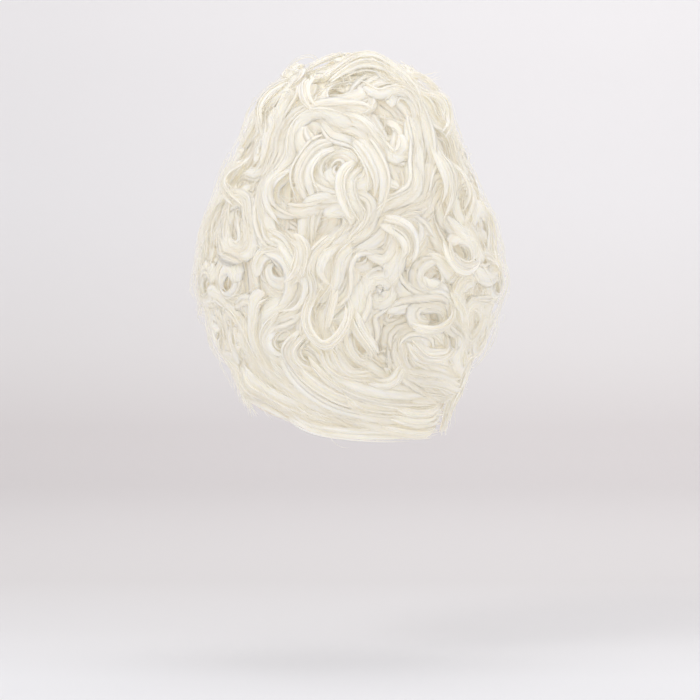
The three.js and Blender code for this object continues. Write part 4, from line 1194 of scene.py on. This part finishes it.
bpy.ops.mesh.primitive_grid_add(x_subdivisions=2, y_subdivisions=60, size=1)
backdrop = bpy.context.object
backdrop.name = "backdrop"
points = np.empty(len(backdrop.data.vertices) * 3)
backdrop.data.vertices.foreach_get("co", points)
points = points.reshape(-1, 3)
along = (points[:, 1] + 0.5) * 10  # metres from the front edge, over the floor and up the wall
bend = 1.0
floorEnd = 5.0
turnLength = bend * math.pi / 2
turn = np.clip((along - floorEnd) / bend, 0, math.pi / 2)
y = np.minimum(along, floorEnd) + bend * np.sin(turn)
z = bend * (1 - np.cos(turn)) + np.maximum(along - floorEnd - turnLength, 0)
points = np.stack([points[:, 0] * 12, y - floorEnd + studio["wall"] - bend, z + studio["floor"]], -1)
backdrop.data.vertices.foreach_set("co", points.ravel())
backdrop.data.attributes.new("alongPaper", "FLOAT", "POINT").data.foreach_set("value", along)
bpy.ops.object.shade_smooth()
pale = bpy.data.materials.new("backdrop_paper")
pale.use_nodes = True
paperTree = pale.node_tree
paper = paperTree.nodes["Principled BSDF"]
paperPaintedShade = [  # metres along the paper, colour: painted shade, darkest over the far floor and the foot of the bend, lighter near the front and up the wall
    (2.42, (0.82, 0.82, 0.84)),
    (2.75, (0.73, 0.72, 0.73)),
    (3.20, (0.66, 0.64, 0.64)),
    (5.45, (0.67, 0.64, 0.64)),
    (5.75, (0.74, 0.72, 0.72)),
    (6.19, (0.81, 0.80, 0.81)),
    (6.64, (0.86, 0.85, 0.86)),
]
paperSpan = (2.0, 7.0)
placed = node(paperTree, "ShaderNodeMapRange")
placed.inputs["From Min"].default_value, placed.inputs["From Max"].default_value = paperSpan
paperTree.links.new(node(paperTree, "ShaderNodeAttribute", attribute_name="alongPaper").outputs["Fac"], placed.inputs["Value"])
graded = node(paperTree, "ShaderNodeValToRGB")
stops = graded.color_ramp.elements
while len(stops) < len(paperPaintedShade):
    stops.new(0.5)
for stop, (metres, colour) in zip(stops, paperPaintedShade):
    stop.position = (metres - paperSpan[0]) / (paperSpan[1] - paperSpan[0])
    stop.color = colour + (1,)
paperTree.links.new(placed.outputs["Result"], graded.inputs["Fac"])
paperSideLight = {"from": -0.7, "to": 0.7, "left": 1.0, "right": 1.05}  # painted light: a little lighter to the right
across = node(paperTree, "ShaderNodeSeparateXYZ")
paperTree.links.new(node(paperTree, "ShaderNodeTexCoord").outputs["Object"], across.inputs["Vector"])
sideways = node(paperTree, "ShaderNodeMapRange")
for key, value in zip(("From Min", "From Max", "To Min", "To Max"), paperSideLight.values()):
    sideways.inputs[key].default_value = value
paperTree.links.new(across.outputs["X"], sideways.inputs["Value"])
lighter = node(paperTree, "ShaderNodeVectorMath", operation="SCALE")
paperTree.links.new(graded.outputs["Color"], lighter.inputs[0])
paperTree.links.new(sideways.outputs["Result"], lighter.inputs["Scale"])
paperTree.links.new(lighter.outputs["Vector"], paper.inputs["Base Color"])
paper.inputs["Roughness"].default_value = 0.9
paper.inputs["Specular IOR Level"].default_value = 0.1
seeThrough = node(paperTree, "ShaderNodeBsdfTransparent")  # from behind and below, so that it hides nothing there
sided = node(paperTree, "ShaderNodeMixShader")
paperTree.links.new(node(paperTree, "ShaderNodeNewGeometry").outputs["Backfacing"], sided.inputs["Fac"])
paperTree.links.new(paper.outputs["BSDF"], sided.inputs[1])
paperTree.links.new(seeThrough.outputs["BSDF"], sided.inputs[2])
paperTree.links.new(sided.outputs["Shader"], paperTree.nodes["Material Output"].inputs["Surface"])
backdrop.data.materials.append(pale)

world = bpy.data.worlds.new("studio")
bpy.context.scene.world = world
world.use_nodes = True
world.node_tree.nodes["Background"].inputs["Color"].default_value = (1, 0.99, 1, 1)
world.node_tree.nodes["Background"].inputs["Strength"].default_value = 0.79


def areaLight(name, place, aim, size, power, colour=(1, 1, 1)):
    bpy.ops.object.light_add(type="AREA", location=place)
    light = bpy.context.object
    light.name = name
    light.data.size = size
    light.data.energy = power
    light.data.color = colour
    light.rotation_euler = (Vector(aim) - Vector(place)).to_track_quat("-Z", "Y").to_euler()


middle = (0, 0, -0.09)
areaLight("key", (-1.3, -1.4, 1.7), middle, 0.8, 10)
areaLight("fill", (1.6, -1.8, 0.4), middle, 1.6, 4)
areaLight("top", (0, 0.3, 1.9), middle, 1.2, 4)
areaLight("wall", (0.5, 0.8, 2.2), (0.3, studio["wall"], 0.6), 2.5, 25)

camera = bpy.data.cameras.new("camera")
camera.lens = sensor * 1000 * studio["distance"] / studio["view"]
camera.sensor_width = sensor * 1000
cameraObject = bpy.data.objects.new("camera", camera)
cameraObject.location = (0, -studio["distance"], studio["aimHeight"])
cameraObject.rotation_euler = (math.pi / 2, 0, 0)
bpy.context.scene.collection.objects.link(cameraObject)
bpy.context.scene.camera = cameraObject
bpy.context.scene.view_settings.view_transform = "Standard"
